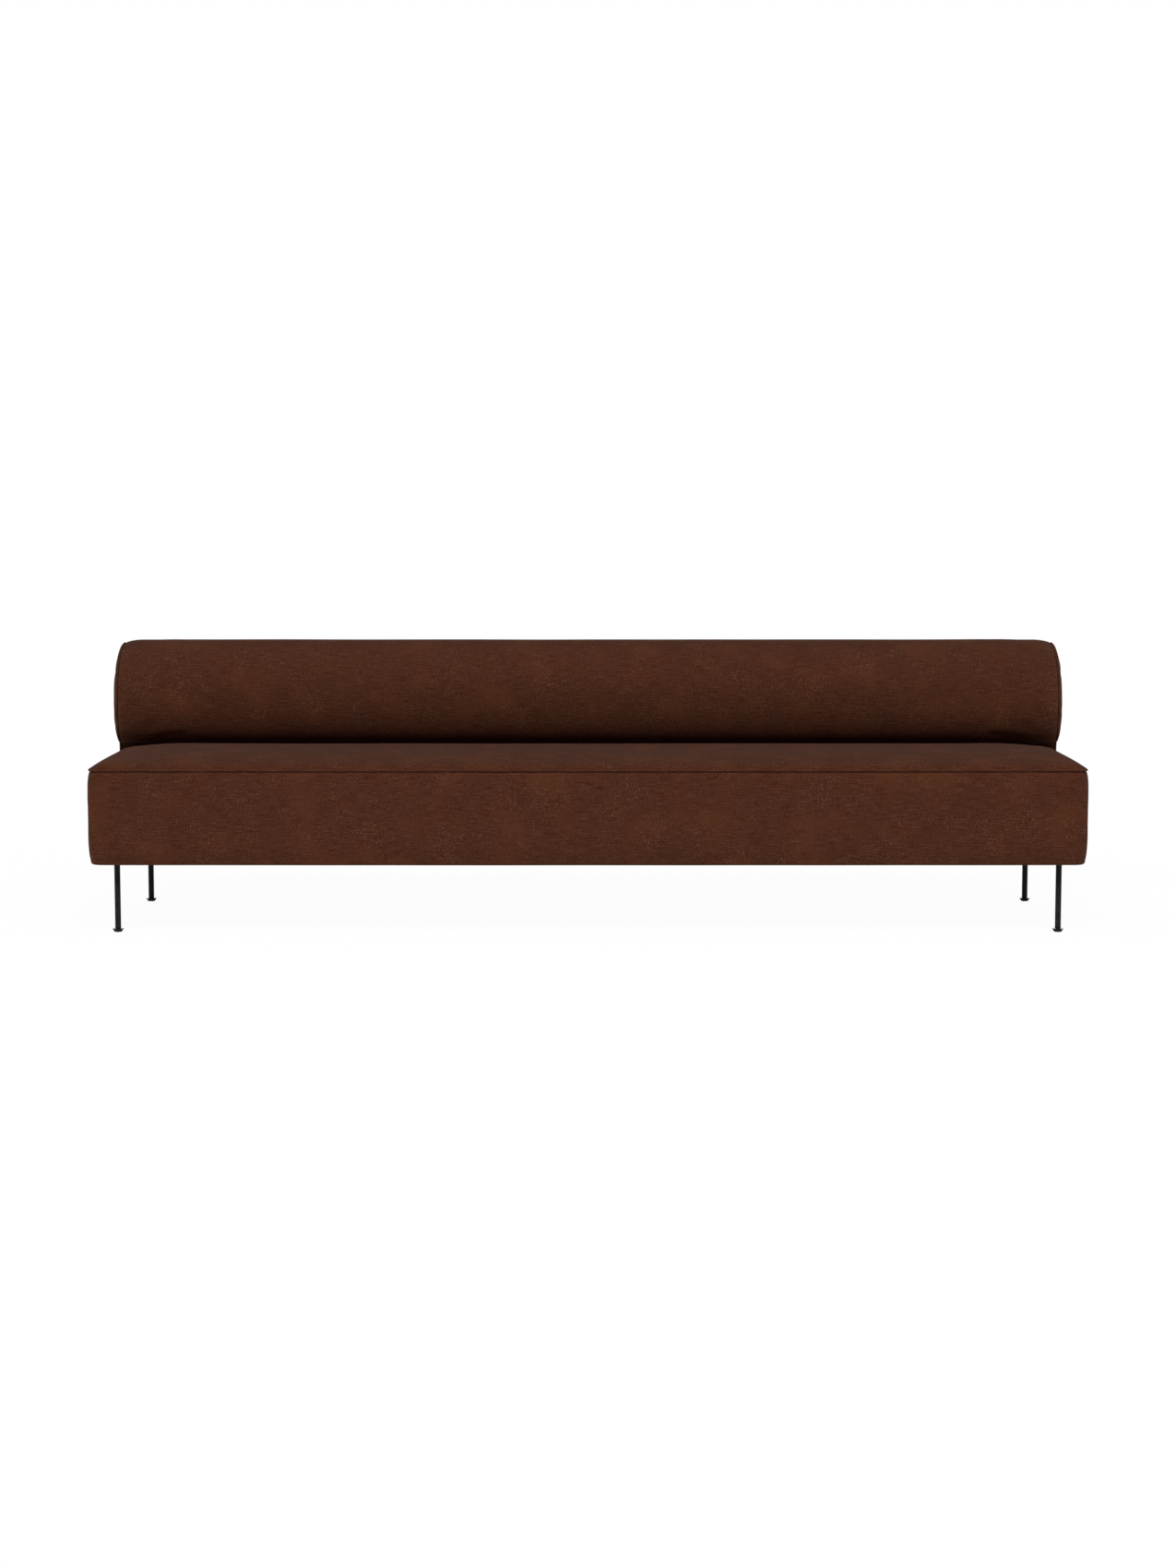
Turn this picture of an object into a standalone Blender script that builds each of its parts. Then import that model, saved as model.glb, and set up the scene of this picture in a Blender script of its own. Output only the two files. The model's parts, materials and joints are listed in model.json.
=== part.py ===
"""Dining sofa in metres, +Z up, its front facing -Y, its origin on the floor under the middle of the seat.

A timber seat box with elastic webbing, foam and a sewn cover stands on steel rod legs with levelling feet.
A long upholstered roll, built on plywood ribs, is bolted to a deck at the rear of the box.
"""

import math

import bmesh
import bpy

# Seat box, measured at its piped top seam
SEAT_LENGTH = 2.656
SEAT_DEPTH = 0.698
SEAT_UNDERSIDE = 0.1885
BOX_HEIGHT = 0.249
CORNER_RADIUS = 0.020
BOTTOM_EDGE_RADIUS = 0.010
WALL_BULGE = 0.005
FACE_SWELL = 0.005
END_SWELL = 0.008
SWELL_POWER = 7
UNDER_FLANGE = 0.035
PIPING_RADIUS = 0.0035
PIPING_PROUD = 0.002

# Seat pad: a quick rise at the seam, then a slow one towards the middle, and a fall to the back
EDGE_RISE = 0.014
EDGE_REACH = 0.032
PAD_RISE = 0.014
PAD_REACH_SHARE = 0.79
REAR_REACH = 0.045

# Back: a roll on a narrower stem, measured to the outside of its cover
BACK_SETBACK = 0.005
BACK_HEIGHT = 0.314
ROLL_DEPTH = 0.254
ROLL_OVERHANG = 0.072
ROLL_NOSE_SHARE = 0.364
ROLL_SETTLE = 0.0025
ROLL_SHELF = 0.006
ROLL_FULLNESS = 2.2
REAR_ROUND = 0.067
END_DRAW = 0.009
END_DRAW_REACH = 0.080
END_BULGE = 0.013
END_CORE_SHARE = 0.9

# Legs and levelling feet
LEG_INSET = 0.0628
ROD_RADIUS = 0.008
PLATE_SIZE = 0.064
PLATE_THICKNESS = 0.005
FOOT_HEIGHT = 0.009
FOOT_RIM_RADIUS = 0.0145
FOOT_RIM_THICKNESS = 0.0025
FOOT_SOLE_RADIUS = 0.0105
STUD_RADIUS = 0.004
STUD_LENGTH = 0.036
STUD_TIP_ROOM = 0.002

# Timber
RAIL_THICKNESS = 0.022
RAIL_HEIGHT = 0.110
CROSS_RAIL_HEIGHT = 0.060
BATTEN_DEPTH = 0.028
BATTEN_HEIGHT = 0.045
BLOCK_SIZE = 0.095
BLOCK_HEIGHT = 0.070
BLOCK_CUT = 0.050
DECK_THICKNESS = 0.018
RIB_THICKNESS = 0.018
BACK_PANEL_THICKNESS = 0.012
SKIN_BOARD = 0.004
TIMBER_EDGE = 0.0015
RIB_COUNT = 5
CROSS_RAIL_COUNT = 3

# Webbing, foam and cloth
STRAP_COUNT = 12
STRAP_WIDTH = 0.080
STRAP_THICKNESS = 0.0025
STRAP_HEM = 0.018
STRAP_MARGIN = 0.002
LONG_STRAP_COUNT = 2
LONG_STRAP_WIDTH = 0.060
WEAVE_HEIGHT = 0.004
FOAM_WRAP = 0.018
TOPPER_EDGE = 0.012
ROLL_PAD = 0.040
REAR_PAD = 0.006
BACK_END_PAD = 0.030
FABRIC = 0.002
DUST_CLOTH = 0.001

# Bolts that hold the back to the deck
BOLT_RADIUS = 0.004
BOLT_HEAD_RADIUS = 0.0075
BOLT_HEAD_HEIGHT = 0.0055
BOLT_HOLE_ROOM = 0.0004
BOLT_TIP_ROOM = 0.003

# Clearance between pieces that touch
GAP = 0.0003

# Facets of the curved forms
CORNER_STEPS = 4
SIDE_STEPS = 6
EDGE_STEPS = 3
WALL_STEPS = 4
LOWER_STEPS = 5
UPPER_STEPS = 7
REAR_STEPS = 4
PIPING_SIDES = 6
ROUND_SIDES = 16
BOLT_SIDES = 12
HEX_SIDES = 6
WAVES_PER_STRAP = 6
STEM_POINTS = 2
PAD_RINGS = (0.0, 0.035, 0.08, 0.15, 0.275, 0.525, 1.0)
END_PAD_RINGS = (0.0, 0.12, 0.3, 0.6, 1.0)
DRAW_STATIONS = (0.0, 0.1, 0.25, 0.5, 1.0)

# Heights worked out from the sizes above
SEAM_HEIGHT = SEAT_UNDERSIDE + BOX_HEIGHT
RAIL_BOTTOM = SEAT_UNDERSIDE + FABRIC + GAP
FRAME_TOP = RAIL_BOTTOM + RAIL_HEIGHT
STRAP_MIDDLE = FRAME_TOP + GAP + STRAP_THICKNESS / 2
CORE_BOTTOM = STRAP_MIDDLE + WEAVE_HEIGHT + STRAP_THICKNESS / 2 + GAP
CORE_TOP = SEAM_HEIGHT - TOPPER_EDGE
LIP_TOP = SEAM_HEIGHT + GAP + 2 * PIPING_RADIUS
DECK_TOP = LIP_TOP - FABRIC - 2 * GAP
DECK_BOTTOM = DECK_TOP - DECK_THICKNESS
SILL_BOTTOM = DECK_TOP + GAP
SILL_TOP = SILL_BOTTOM + DECK_THICKNESS
BACK_BOTTOM = LIP_TOP + GAP
BACK_TOP = LIP_TOP + BACK_HEIGHT
ROLL_BOTTOM = LIP_TOP + EDGE_RISE + PAD_RISE - ROLL_SETTLE
ROLL_NOSE_HEIGHT = ROLL_BOTTOM + ROLL_NOSE_SHARE * (BACK_TOP - ROLL_BOTTOM)
REAR_SHOULDER = BACK_TOP - REAR_ROUND

# Places in plan worked out from the sizes above
HALF_LENGTH = SEAT_LENGTH / 2
HALF_DEPTH = SEAT_DEPTH / 2
FRAME_INSET = FABRIC + GAP + FOAM_WRAP + GAP
FRAME_X = HALF_LENGTH - FRAME_INSET
FRAME_Y = HALF_DEPTH - FRAME_INSET
INNER_X = FRAME_X - RAIL_THICKNESS
INNER_Y = FRAME_Y - RAIL_THICKNESS
PANEL_INSET = 2 * PIPING_RADIUS - PIPING_PROUD + GAP
ROLL_FRONT = HALF_DEPTH - ROLL_DEPTH
STEM_FRONT = ROLL_FRONT + ROLL_OVERHANG
ROLL_TOP_Y = HALF_DEPTH - REAR_ROUND
PAD_REAR = STEM_FRONT - 2 * GAP
PAD_REACH = PAD_REACH_SHARE * (PAD_REAR + HALF_DEPTH - PANEL_INSET) / 2
SUPPORT_FRONT = PAD_REAR + GAP
LEG_X = HALF_LENGTH - LEG_INSET
LEG_Y = HALF_DEPTH - LEG_INSET
LEG_CORNER = LEG_INSET - FRAME_INSET - RAIL_THICKNESS - GAP
BACK_HALF = HALF_LENGTH - BACK_SETBACK
BACK_FRAME_X = BACK_HALF - BACK_END_PAD
BACK_PANEL_REAR = HALF_DEPTH - FABRIC - GAP - REAR_PAD - GAP
BACK_PANEL_FRONT = BACK_PANEL_REAR - BACK_PANEL_THICKNESS
RIB_INSET = ROLL_PAD + SKIN_BOARD + GAP
RIB_SPACING = 2 * (BACK_FRAME_X - RIB_THICKNESS / 2) / (RIB_COUNT - 1)
STRAP_PITCH = 2 * INNER_X / STRAP_COUNT

# Corners in turning order: name, side along X, side along Y, quarter turns of the leg's plate
CORNERS = (
    ("front_left", -1, -1, 0),
    ("front_right", 1, -1, 1),
    ("rear_right", 1, 1, 2),
    ("rear_left", -1, 1, 3),
)

# Finishes: linear colour, roughness, metallic
FINISHES = {
    "fabric": ((0.068, 0.024, 0.013), 0.9, 0.0),
    "piping": ((0.045, 0.014, 0.007), 0.9, 0.0),
    "black_steel": ((0.012, 0.012, 0.013), 0.45, 0.6),
    "zinc_steel": ((0.45, 0.46, 0.47), 0.35, 1.0),
    "beech": ((0.48, 0.30, 0.16), 0.6, 0.0),
    "plywood": ((0.52, 0.36, 0.21), 0.65, 0.0),
    "board": ((0.22, 0.13, 0.07), 0.8, 0.0),
    "webbing": ((0.02, 0.02, 0.02), 0.85, 0.0),
    "foam": ((0.80, 0.76, 0.62), 0.95, 0.0),
    "dust_cloth": ((0.015, 0.015, 0.016), 0.95, 0.0),
}

SHARP_ANGLE = math.radians(35)


def clear_scene():
    for item in list(bpy.data.objects):
        bpy.data.objects.remove(item)


def finish_material(name, finish):
    """A material of the piece's own, in one of the finishes."""
    colour, roughness, metallic = FINISHES[finish]
    material = bpy.data.materials.new(f"{name}_{finish}")
    material.use_nodes = True
    shader = material.node_tree.nodes["Principled BSDF"]
    shader.inputs["Base Color"].default_value = (*colour, 1.0)
    shader.inputs["Roughness"].default_value = roughness
    shader.inputs["Metallic"].default_value = metallic
    return material


def group(name, parent=None):
    empty = bpy.data.objects.new(name, None)
    bpy.context.scene.collection.objects.link(empty)
    empty.parent = parent
    return empty


def finish_mesh(shape, name, finish, parent, location=(0, 0, 0), turn=0.0):
    """Turn a closed bmesh into a named object with its own material."""
    bmesh.ops.recalc_face_normals(shape, faces=shape.faces[:])
    mesh = bpy.data.meshes.new(name)
    shape.to_mesh(mesh)
    shape.free()
    mesh.shade_smooth()
    mesh.set_sharp_from_angle(angle=SHARP_ANGLE)
    mesh.materials.append(finish_material(name, finish))
    piece = bpy.data.objects.new(name, mesh)
    bpy.context.scene.collection.objects.link(piece)
    piece.location = location
    piece.rotation_euler = (0, 0, turn)
    piece.parent = parent
    return piece


def loft(rings, closed=False):
    """Bridge rings of equally many points; the end rings are filled, or joined when the loft is closed."""
    shape = bmesh.new()
    loops = [[shape.verts.new(point) for point in ring] for ring in rings]
    count = len(rings[0])
    pairs = list(zip(loops, loops[1:]))
    if closed:
        pairs.append((loops[-1], loops[0]))
    else:
        shape.faces.new(loops[0])
        shape.faces.new(loops[-1])
    sides = []
    for lower, upper in pairs:
        for i in range(count):
            j = (i + 1) % count
            sides.append(shape.faces.new((lower[i], lower[j], upper[j], upper[i])))
    # Split on the shorter diagonal, so that nested surfaces have the same facets and keep their gap
    bmesh.ops.triangulate(shape, faces=sides, quad_method="SHORT_EDGE")
    return shape


def strip_loft(stations):
    """Bridge a row of sheet sections; each section is its outer path and its inner path."""
    shape = bmesh.new()
    sections = []
    for outer, inner in stations:
        outer_verts = [shape.verts.new(point) for point in outer]
        inner_verts = [shape.verts.new(point) for point in inner]
        sections.append(outer_verts + inner_verts[::-1])
    count = len(sections[0])
    half = count // 2
    for lower, upper in zip(sections, sections[1:]):
        for i in range(count):
            j = (i + 1) % count
            shape.faces.new((lower[i], lower[j], upper[j], upper[i]))
    for section in (sections[0], sections[-1]):
        for i in range(half - 1):
            shape.faces.new((section[i], section[i + 1], section[count - 2 - i], section[count - 1 - i]))
    return shape


def prism(outline, low, high):
    """Extrude an outline in the YZ plane along X, from low to high."""
    return loft([[(x, y, z) for y, z in outline] for x in (low, high)])


def upright(outline, low, high):
    """Extrude an outline in plan along Z, from low to high."""
    return loft([[(x, y, z) for x, y in outline] for z in (low, high)])


def circle(radius, z, sides):
    turns = [2 * math.pi * i / sides for i in range(sides)]
    return [(radius * math.cos(turn), radius * math.sin(turn), z) for turn in turns]


def turned(profile, sides):
    """A body of revolution about Z; the profile's first and last circles are filled."""
    return loft([circle(radius, z, sides) for radius, z in profile])


def block(name, finish, parent, low, high):
    """A timber or board block between two corners, with its edges eased."""
    size = [top - bottom for bottom, top in zip(low, high)]
    centre = [(top + bottom) / 2 for bottom, top in zip(low, high)]
    shape = bmesh.new()
    bmesh.ops.create_cube(shape, size=1.0)
    bmesh.ops.scale(shape, vec=size, verts=shape.verts)
    bmesh.ops.bevel(shape, geom=shape.edges[:], offset=TIMBER_EDGE, segments=1, affect="EDGES")
    return finish_mesh(shape, name, finish, parent, centre)


def boolean(piece, helper, operation):
    """Join a hidden helper body to a piece, or cut it out, with a live modifier."""
    helper.hide_render = True
    helper.display_type = "WIRE"
    modifier = piece.modifiers.new(operation.lower(), "BOOLEAN")
    modifier.object = helper
    modifier.operation = operation
    modifier.solver = "EXACT"


def ease(share):
    """A rise from 0 to 1 that flattens out; the share of the way is held between 0 and 1."""
    left = 1.0 - min(max(share, 0.0), 1.0)
    return 1.0 - left * left


def pillow(share):
    """A rise from 0 to 1 that starts upright and ends flat, like a sewn-in pad's edge."""
    return math.sqrt(1.0 - (1.0 - share) ** 2)


def swollen(x, y):
    """Push a plan point outward where the seat's long and short faces swell between their corners."""
    along_x = x / HALF_LENGTH
    along_y = y / HALF_DEPTH
    push_x = END_SWELL * (1 - along_y * along_y) * along_x ** SWELL_POWER
    push_y = FACE_SWELL * (1 - along_x * along_x) * along_y ** SWELL_POWER
    return x + push_x, y + push_y


def plan_outline(half_x, front, rear):
    """A rounded rectangle in plan, counter-clockwise from its right side, swollen like the seat."""
    right = half_x - CORNER_RADIUS
    arcs = (
        (right, rear - CORNER_RADIUS, 0),
        (-right, rear - CORNER_RADIUS, 1),
        (-right, front + CORNER_RADIUS, 2),
        (right, front + CORNER_RADIUS, 3),
    )
    points = []
    for centre_x, centre_y, quarter in arcs:
        for i in range(CORNER_STEPS + 1):
            turn = math.pi / 2 * (quarter + i / CORNER_STEPS)
            x = centre_x + CORNER_RADIUS * math.cos(turn)
            y = centre_y + CORNER_RADIUS * math.sin(turn)
            points.append((x, y))
    outline = []
    per_corner = CORNER_STEPS + 1
    for i, (x, y) in enumerate(points):
        outline.append((x, y))
        if i % per_corner == CORNER_STEPS:
            next_x, next_y = points[(i + 1) % len(points)]
            for step in range(1, SIDE_STEPS):
                share = step / SIDE_STEPS
                outline.append((x + (next_x - x) * share, y + (next_y - y) * share))
    return [swollen(x, y) for x, y in outline]


def seat_ring(inset, z):
    """The seat box's outline, drawn in by inset, at one height."""
    outline = plan_outline(HALF_LENGTH - inset, -HALF_DEPTH + inset, HALF_DEPTH - inset)
    return [(x, y, z) for x, y in outline]


def wall_section(offset):
    """Insets and heights of the border's wall above its bottom edge, for a surface offset inward."""
    foot = SEAT_UNDERSIDE + BOTTOM_EDGE_RADIUS
    heights = [foot + (CORE_TOP - foot) * i / WALL_STEPS for i in range(1, WALL_STEPS + 1)]
    section = []
    for z in heights + [SEAM_HEIGHT]:
        share = (z - foot) / (SEAM_HEIGHT - foot)
        section.append((offset - WALL_BULGE * (1 - (2 * share - 1) ** 2), z))
    return section


def border_section(offset):
    """Insets and heights of the border from its flange under the box, round the bottom edge, to the seam."""
    section = [(UNDER_FLANGE, SEAT_UNDERSIDE + offset)]
    radius = BOTTOM_EDGE_RADIUS - offset
    for i in range(EDGE_STEPS + 1):
        turn = math.pi / 2 * i / EDGE_STEPS
        inset = BOTTOM_EDGE_RADIUS - radius * math.sin(turn)
        section.append((inset, SEAT_UNDERSIDE + BOTTOM_EDGE_RADIUS - radius * math.cos(turn)))
    return section + wall_section(offset)


def crown(x, y):
    """Rise of the seat pad over its seam at one plan point."""
    to_end = HALF_LENGTH - PANEL_INSET - abs(x)
    to_front = y + HALF_DEPTH - PANEL_INSET
    edge = EDGE_RISE * ease(to_end / EDGE_REACH) * ease(to_front / EDGE_REACH)
    pad = PAD_RISE * ease(to_end / PAD_REACH) * ease(to_front / PAD_REACH)
    return (edge + pad) * ease((PAD_REAR - y) / REAR_REACH)


def pad_ring(inset, drop):
    """One ring of the crowned pad, drawn in from the pad's edge, lowered by drop."""
    half_x = HALF_LENGTH - PANEL_INSET - inset
    outline = plan_outline(half_x, -HALF_DEPTH + PANEL_INSET + inset, PAD_REAR - inset)
    return [(x, y, LIP_TOP + crown(x, y) - drop) for x, y in outline]


def pad_rings(drop):
    return [pad_ring(share * PAD_REACH, drop) for share in PAD_RINGS]


def roll_path(inset, draw, rear_inset, bottom):
    """The back's outline in the YZ plane from its front foot, round the roll, to its rear foot.

    The inset moves the whole outline inward. The draw pulls in only the roll, its top and its rear.
    """
    shelf_end = STEM_FRONT - ROLL_SHELF
    nose = ROLL_FRONT + inset + draw
    shelf = ROLL_BOTTOM + inset
    top = BACK_TOP - inset - draw
    rear = HALF_DEPTH - rear_inset - draw
    path = [(STEM_FRONT + inset, bottom), (STEM_FRONT + inset, shelf)]
    for i in range(LOWER_STEPS + 1):
        turn = math.pi / 2 * i / LOWER_STEPS
        y = shelf_end - (shelf_end - nose) * math.sin(turn)
        path.append((y, ROLL_NOSE_HEIGHT - (ROLL_NOSE_HEIGHT - shelf) * math.cos(turn)))
    power = 2 / ROLL_FULLNESS
    for i in range(1, UPPER_STEPS + 1):
        turn = math.pi / 2 * i / UPPER_STEPS
        y = ROLL_TOP_Y - (ROLL_TOP_Y - nose) * max(math.cos(turn), 0.0) ** power
        path.append((y, ROLL_NOSE_HEIGHT + (top - ROLL_NOSE_HEIGHT) * math.sin(turn) ** power))
    for i in range(1, REAR_STEPS + 1):
        turn = math.pi / 2 * i / REAR_STEPS
        y = ROLL_TOP_Y + (rear - ROLL_TOP_Y) * math.sin(turn)
        path.append((y, REAR_SHOULDER + (top - REAR_SHOULDER) * math.cos(turn)))
    path.append((rear, bottom))
    return path


def draw_at(x):
    """How far the back's cover is drawn in near its end seams."""
    to_seam = max(BACK_HALF - abs(x), 0.0)
    left = max(1.0 - to_seam / END_DRAW_REACH, 0.0)
    return END_DRAW * left * left


def back_stations():
    """Places along X of the back's sections, close together where its ends are drawn in."""
    seam = BACK_HALF - GAP
    left = [-seam + share * END_DRAW_REACH for share in DRAW_STATIONS]
    return left + [-x for x in reversed(left)]


def at_x(x, path):
    return [(x, y, z) for y, z in path]


def make_seat_frame(parent):
    """Rails, cross rails, corner blocks and the deck that carries the back."""
    tall = DECK_BOTTOM - GAP
    block("front_rail", "beech", parent, (-FRAME_X, -FRAME_Y, RAIL_BOTTOM), (FRAME_X, -INNER_Y, FRAME_TOP))
    block("rear_rail", "beech", parent, (-FRAME_X, INNER_Y, RAIL_BOTTOM), (FRAME_X, FRAME_Y, tall))
    long_end = INNER_X - GAP
    support_rear = SUPPORT_FRONT + RAIL_THICKNESS
    block("back_support_rail", "beech", parent,
          (-long_end, SUPPORT_FRONT, RAIL_BOTTOM), (long_end, support_rear, tall))
    block("webbing_batten", "beech", parent,
          (-long_end, PAD_REAR - BATTEN_DEPTH, FRAME_TOP - BATTEN_HEIGHT), (long_end, PAD_REAR, FRAME_TOP))
    block_front = -INNER_Y + GAP
    block_rear = SUPPORT_FRONT - GAP
    spacing = 2 * INNER_X / (CROSS_RAIL_COUNT + 1)
    for number in range(1, CROSS_RAIL_COUNT + 1):
        x = -INNER_X + number * spacing
        block(f"cross_rail_{number}", "beech", parent,
              (x - RAIL_THICKNESS / 2, block_front, RAIL_BOTTOM),
              (x + RAIL_THICKNESS / 2, block_rear, RAIL_BOTTOM + CROSS_RAIL_HEIGHT))
    make_end_rail("left_end_rail", -FRAME_X, -INNER_X, parent)
    make_end_rail("right_end_rail", INNER_X, FRAME_X, parent)


def make_end_rail(name, low, high, parent):
    """An end board with a step: low beside the webbing, tall under the deck."""
    front = -INNER_Y + GAP
    rear = INNER_Y - GAP
    tall = DECK_BOTTOM - GAP
    outline = [(front, RAIL_BOTTOM), (rear, RAIL_BOTTOM), (rear, tall),
               (SUPPORT_FRONT, tall), (SUPPORT_FRONT, FRAME_TOP), (front, FRAME_TOP)]
    finish_mesh(prism(outline, low, high), name, "plywood", parent)


def bolt_places():
    """The bolts stand midway between the back's ribs, in the middle of the sill."""
    y = (STEM_FRONT + ROLL_PAD + BACK_PANEL_REAR) / 2
    first = -BACK_FRAME_X + RIB_THICKNESS / 2 + RIB_SPACING / 2
    return [(first + i * RIB_SPACING, y) for i in range(RIB_COUNT - 1)]


def make_bolt_holes(parent):
    """One hidden cutter that drills the deck and the sill for every bolt."""
    holes = bmesh.new()
    radius = BOLT_RADIUS + BOLT_HOLE_ROOM
    for x, y in bolt_places():
        profile = [(radius, DECK_BOTTOM - DECK_THICKNESS), (radius, SILL_TOP + DECK_THICKNESS)]
        drill = turned(profile, BOLT_SIDES)
        bmesh.ops.translate(drill, vec=(x, y, 0), verts=drill.verts)
        mesh = bpy.data.meshes.new("drill")
        drill.to_mesh(mesh)
        drill.free()
        holes.from_mesh(mesh)
        bpy.data.meshes.remove(mesh)
    return finish_mesh(holes, "bolt_hole_cutter", "zinc_steel", parent)


def make_deck_and_sill(seat, back):
    """The deck on the seat frame and the back's sill on it, drilled together."""
    holes = make_bolt_holes(seat)
    deck = block("back_deck", "plywood", seat,
                 (-FRAME_X, SUPPORT_FRONT, DECK_BOTTOM), (FRAME_X, FRAME_Y, DECK_TOP))
    sill = block("back_sill", "plywood", back,
                 (-BACK_FRAME_X, STEM_FRONT + ROLL_PAD, SILL_BOTTOM),
                 (BACK_FRAME_X, BACK_PANEL_REAR, SILL_TOP))
    boolean(deck, holes, "DIFFERENCE")
    boolean(sill, holes, "DIFFERENCE")


def make_bolts(parent):
    """Hexagon bolts from under the deck into the sill."""
    head_top = DECK_BOTTOM - GAP
    for number, (x, y) in enumerate(bolt_places(), start=1):
        rings = [circle(BOLT_HEAD_RADIUS, head_top - BOLT_HEAD_HEIGHT, HEX_SIDES),
                 circle(BOLT_HEAD_RADIUS, head_top, HEX_SIDES),
                 circle(BOLT_RADIUS, head_top, HEX_SIDES),
                 circle(BOLT_RADIUS, SILL_TOP - BOLT_TIP_ROOM, HEX_SIDES)]
        finish_mesh(loft(rings), f"back_bolt_{number}", "zinc_steel", parent, (x, y, 0))


def make_corner_block(name, x, y, turn, parent):
    """A glued block in the frame's corner, with its free corner cut off, above the leg's plate."""
    low = RAIL_BOTTOM + PLATE_THICKNESS + 2 * GAP
    near = -LEG_CORNER
    far = near + BLOCK_SIZE
    outline = [(near, near), (far, near), (far, far - BLOCK_CUT), (far - BLOCK_CUT, far), (near, far)]
    shape = upright(outline, low, low + BLOCK_HEIGHT)
    finish_mesh(shape, f"corner_block_{name}", "beech", parent, (x, y, 0), turn)


def make_leg(name, x, y, turn, parent):
    """A steel rod with a bore for its foot, and a plate welded on near the plate's outer corner."""
    low = FOOT_HEIGHT + GAP
    high = RAIL_BOTTOM + GAP + PLATE_THICKNESS
    bore = STUD_RADIUS + GAP
    bore_end = FOOT_HEIGHT + STUD_LENGTH + STUD_TIP_ROOM
    rod = turned([(bore, bore_end), (bore, low), (ROD_RADIUS, low), (ROD_RADIUS, high - GAP)], ROUND_SIDES)
    leg = finish_mesh(rod, f"leg_{name}", "black_steel", parent, (x, y, 0), turn)
    near = -LEG_CORNER
    far = near + PLATE_SIZE
    outline = [(near, near), (far, near), (far, far), (near, far)]
    shape = upright(outline, high - PLATE_THICKNESS, high)
    plate = finish_mesh(shape, f"leg_plate_body_{name}", "black_steel", parent, (x, y, 0), turn)
    boolean(leg, plate, "UNION")


def make_foot(name, x, y, parent):
    """A levelling foot: a rim that tapers to its sole, on a stud that screws up into the rod."""
    rim_low = FOOT_HEIGHT - FOOT_RIM_THICKNESS
    profile = [(FOOT_SOLE_RADIUS, 0.0), (FOOT_RIM_RADIUS, rim_low), (FOOT_RIM_RADIUS, FOOT_HEIGHT),
               (STUD_RADIUS, FOOT_HEIGHT), (STUD_RADIUS, FOOT_HEIGHT + STUD_LENGTH)]
    finish_mesh(turned(profile, ROUND_SIDES), f"levelling_foot_{name}", "black_steel", parent, (x, y, 0))


def make_legs(parent):
    for name, side_x, side_y, quarter in CORNERS:
        x = side_x * LEG_X
        y = side_y * LEG_Y
        turn = quarter * math.pi / 2
        make_corner_block(name, x, y, turn, parent)
        make_leg(name, x, y, turn, parent)
        make_foot(name, x, y, parent)


def make_cross_straps(parent):
    """Elastic straps from the front rail to the batten, with a folded hem at each end."""
    front = -FRAME_Y + STRAP_MARGIN
    rear = PAD_REAR - STRAP_MARGIN
    low = FRAME_TOP + GAP
    single = low + STRAP_THICKNESS
    double = single + STRAP_THICKNESS
    front_hem = front + STRAP_HEM
    rear_hem = rear - STRAP_HEM
    outline = [(front, low), (rear, low), (rear, double), (rear_hem, double),
               (rear_hem, single), (front_hem, single), (front_hem, double), (front, double)]
    for number in range(1, STRAP_COUNT + 1):
        x = (number - (STRAP_COUNT + 1) / 2) * STRAP_PITCH
        shape = prism(outline, -STRAP_WIDTH / 2, STRAP_WIDTH / 2)
        finish_mesh(shape, f"webbing_strap_{number:02d}", "webbing", parent, (x, 0, 0))


def make_long_straps(parent):
    """Straps from end to end, woven over and under the short ones in turn."""
    steps = STRAP_COUNT * WAVES_PER_STRAP
    spacing = (PAD_REAR + FRAME_Y) / (LONG_STRAP_COUNT + 1)
    for number in range(1, LONG_STRAP_COUNT + 1):
        phase = 1 if number % 2 else -1
        path = [(-FRAME_X + STRAP_MARGIN, STRAP_MIDDLE)]
        for i in range(steps + 1):
            x = -INNER_X + 2 * INNER_X * i / steps
            wave = math.sin(math.pi * i / WAVES_PER_STRAP)
            path.append((x, STRAP_MIDDLE + phase * WEAVE_HEIGHT * wave))
        path.append((FRAME_X - STRAP_MARGIN, STRAP_MIDDLE))
        y = -FRAME_Y + number * spacing
        stations = []
        for side in (y - LONG_STRAP_WIDTH / 2, y + LONG_STRAP_WIDTH / 2):
            upper = [(x, side, z + STRAP_THICKNESS / 2) for x, z in path]
            lower = [(x, side, z - STRAP_THICKNESS / 2) for x, z in path]
            stations.append((upper, lower))
        finish_mesh(strip_loft(stations), f"long_webbing_{number}", "webbing", parent)


def make_seat_foam(parent):
    """The firm core: it lies on the webbing, wraps the frame and leaves the deck's bay free."""
    wall = [(inset, z) for inset, z in wall_section(FABRIC + GAP) if z <= CORE_TOP + GAP]
    rings = [seat_ring(FABRIC + GAP, SEAT_UNDERSIDE + BOTTOM_EDGE_RADIUS)]
    rings += [seat_ring(inset, z) for inset, z in wall]
    foam = finish_mesh(loft(rings), "seat_foam", "foam", parent)
    side = FRAME_Y + GAP
    below = SEAT_UNDERSIDE - FOAM_WRAP
    above = CORE_TOP + FOAM_WRAP
    outline = [(-side, below), (side, below), (side, above), (PAD_REAR, above),
               (PAD_REAR, CORE_BOTTOM), (-side, CORE_BOTTOM)]
    bay = finish_mesh(prism(outline, -FRAME_X - GAP, FRAME_X + GAP), "frame_bay_cutter", "foam", parent)
    boolean(foam, bay, "DIFFERENCE")


def make_seat_topper(parent):
    """The soft crowned layer between the core and the cover's top panel."""
    base = [(x, y, CORE_TOP + GAP) for x, y, z in pad_ring(0.0, 0.0)]
    finish_mesh(loft([base] + pad_rings(FABRIC + GAP)), "seat_topper", "foam", parent)


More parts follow.
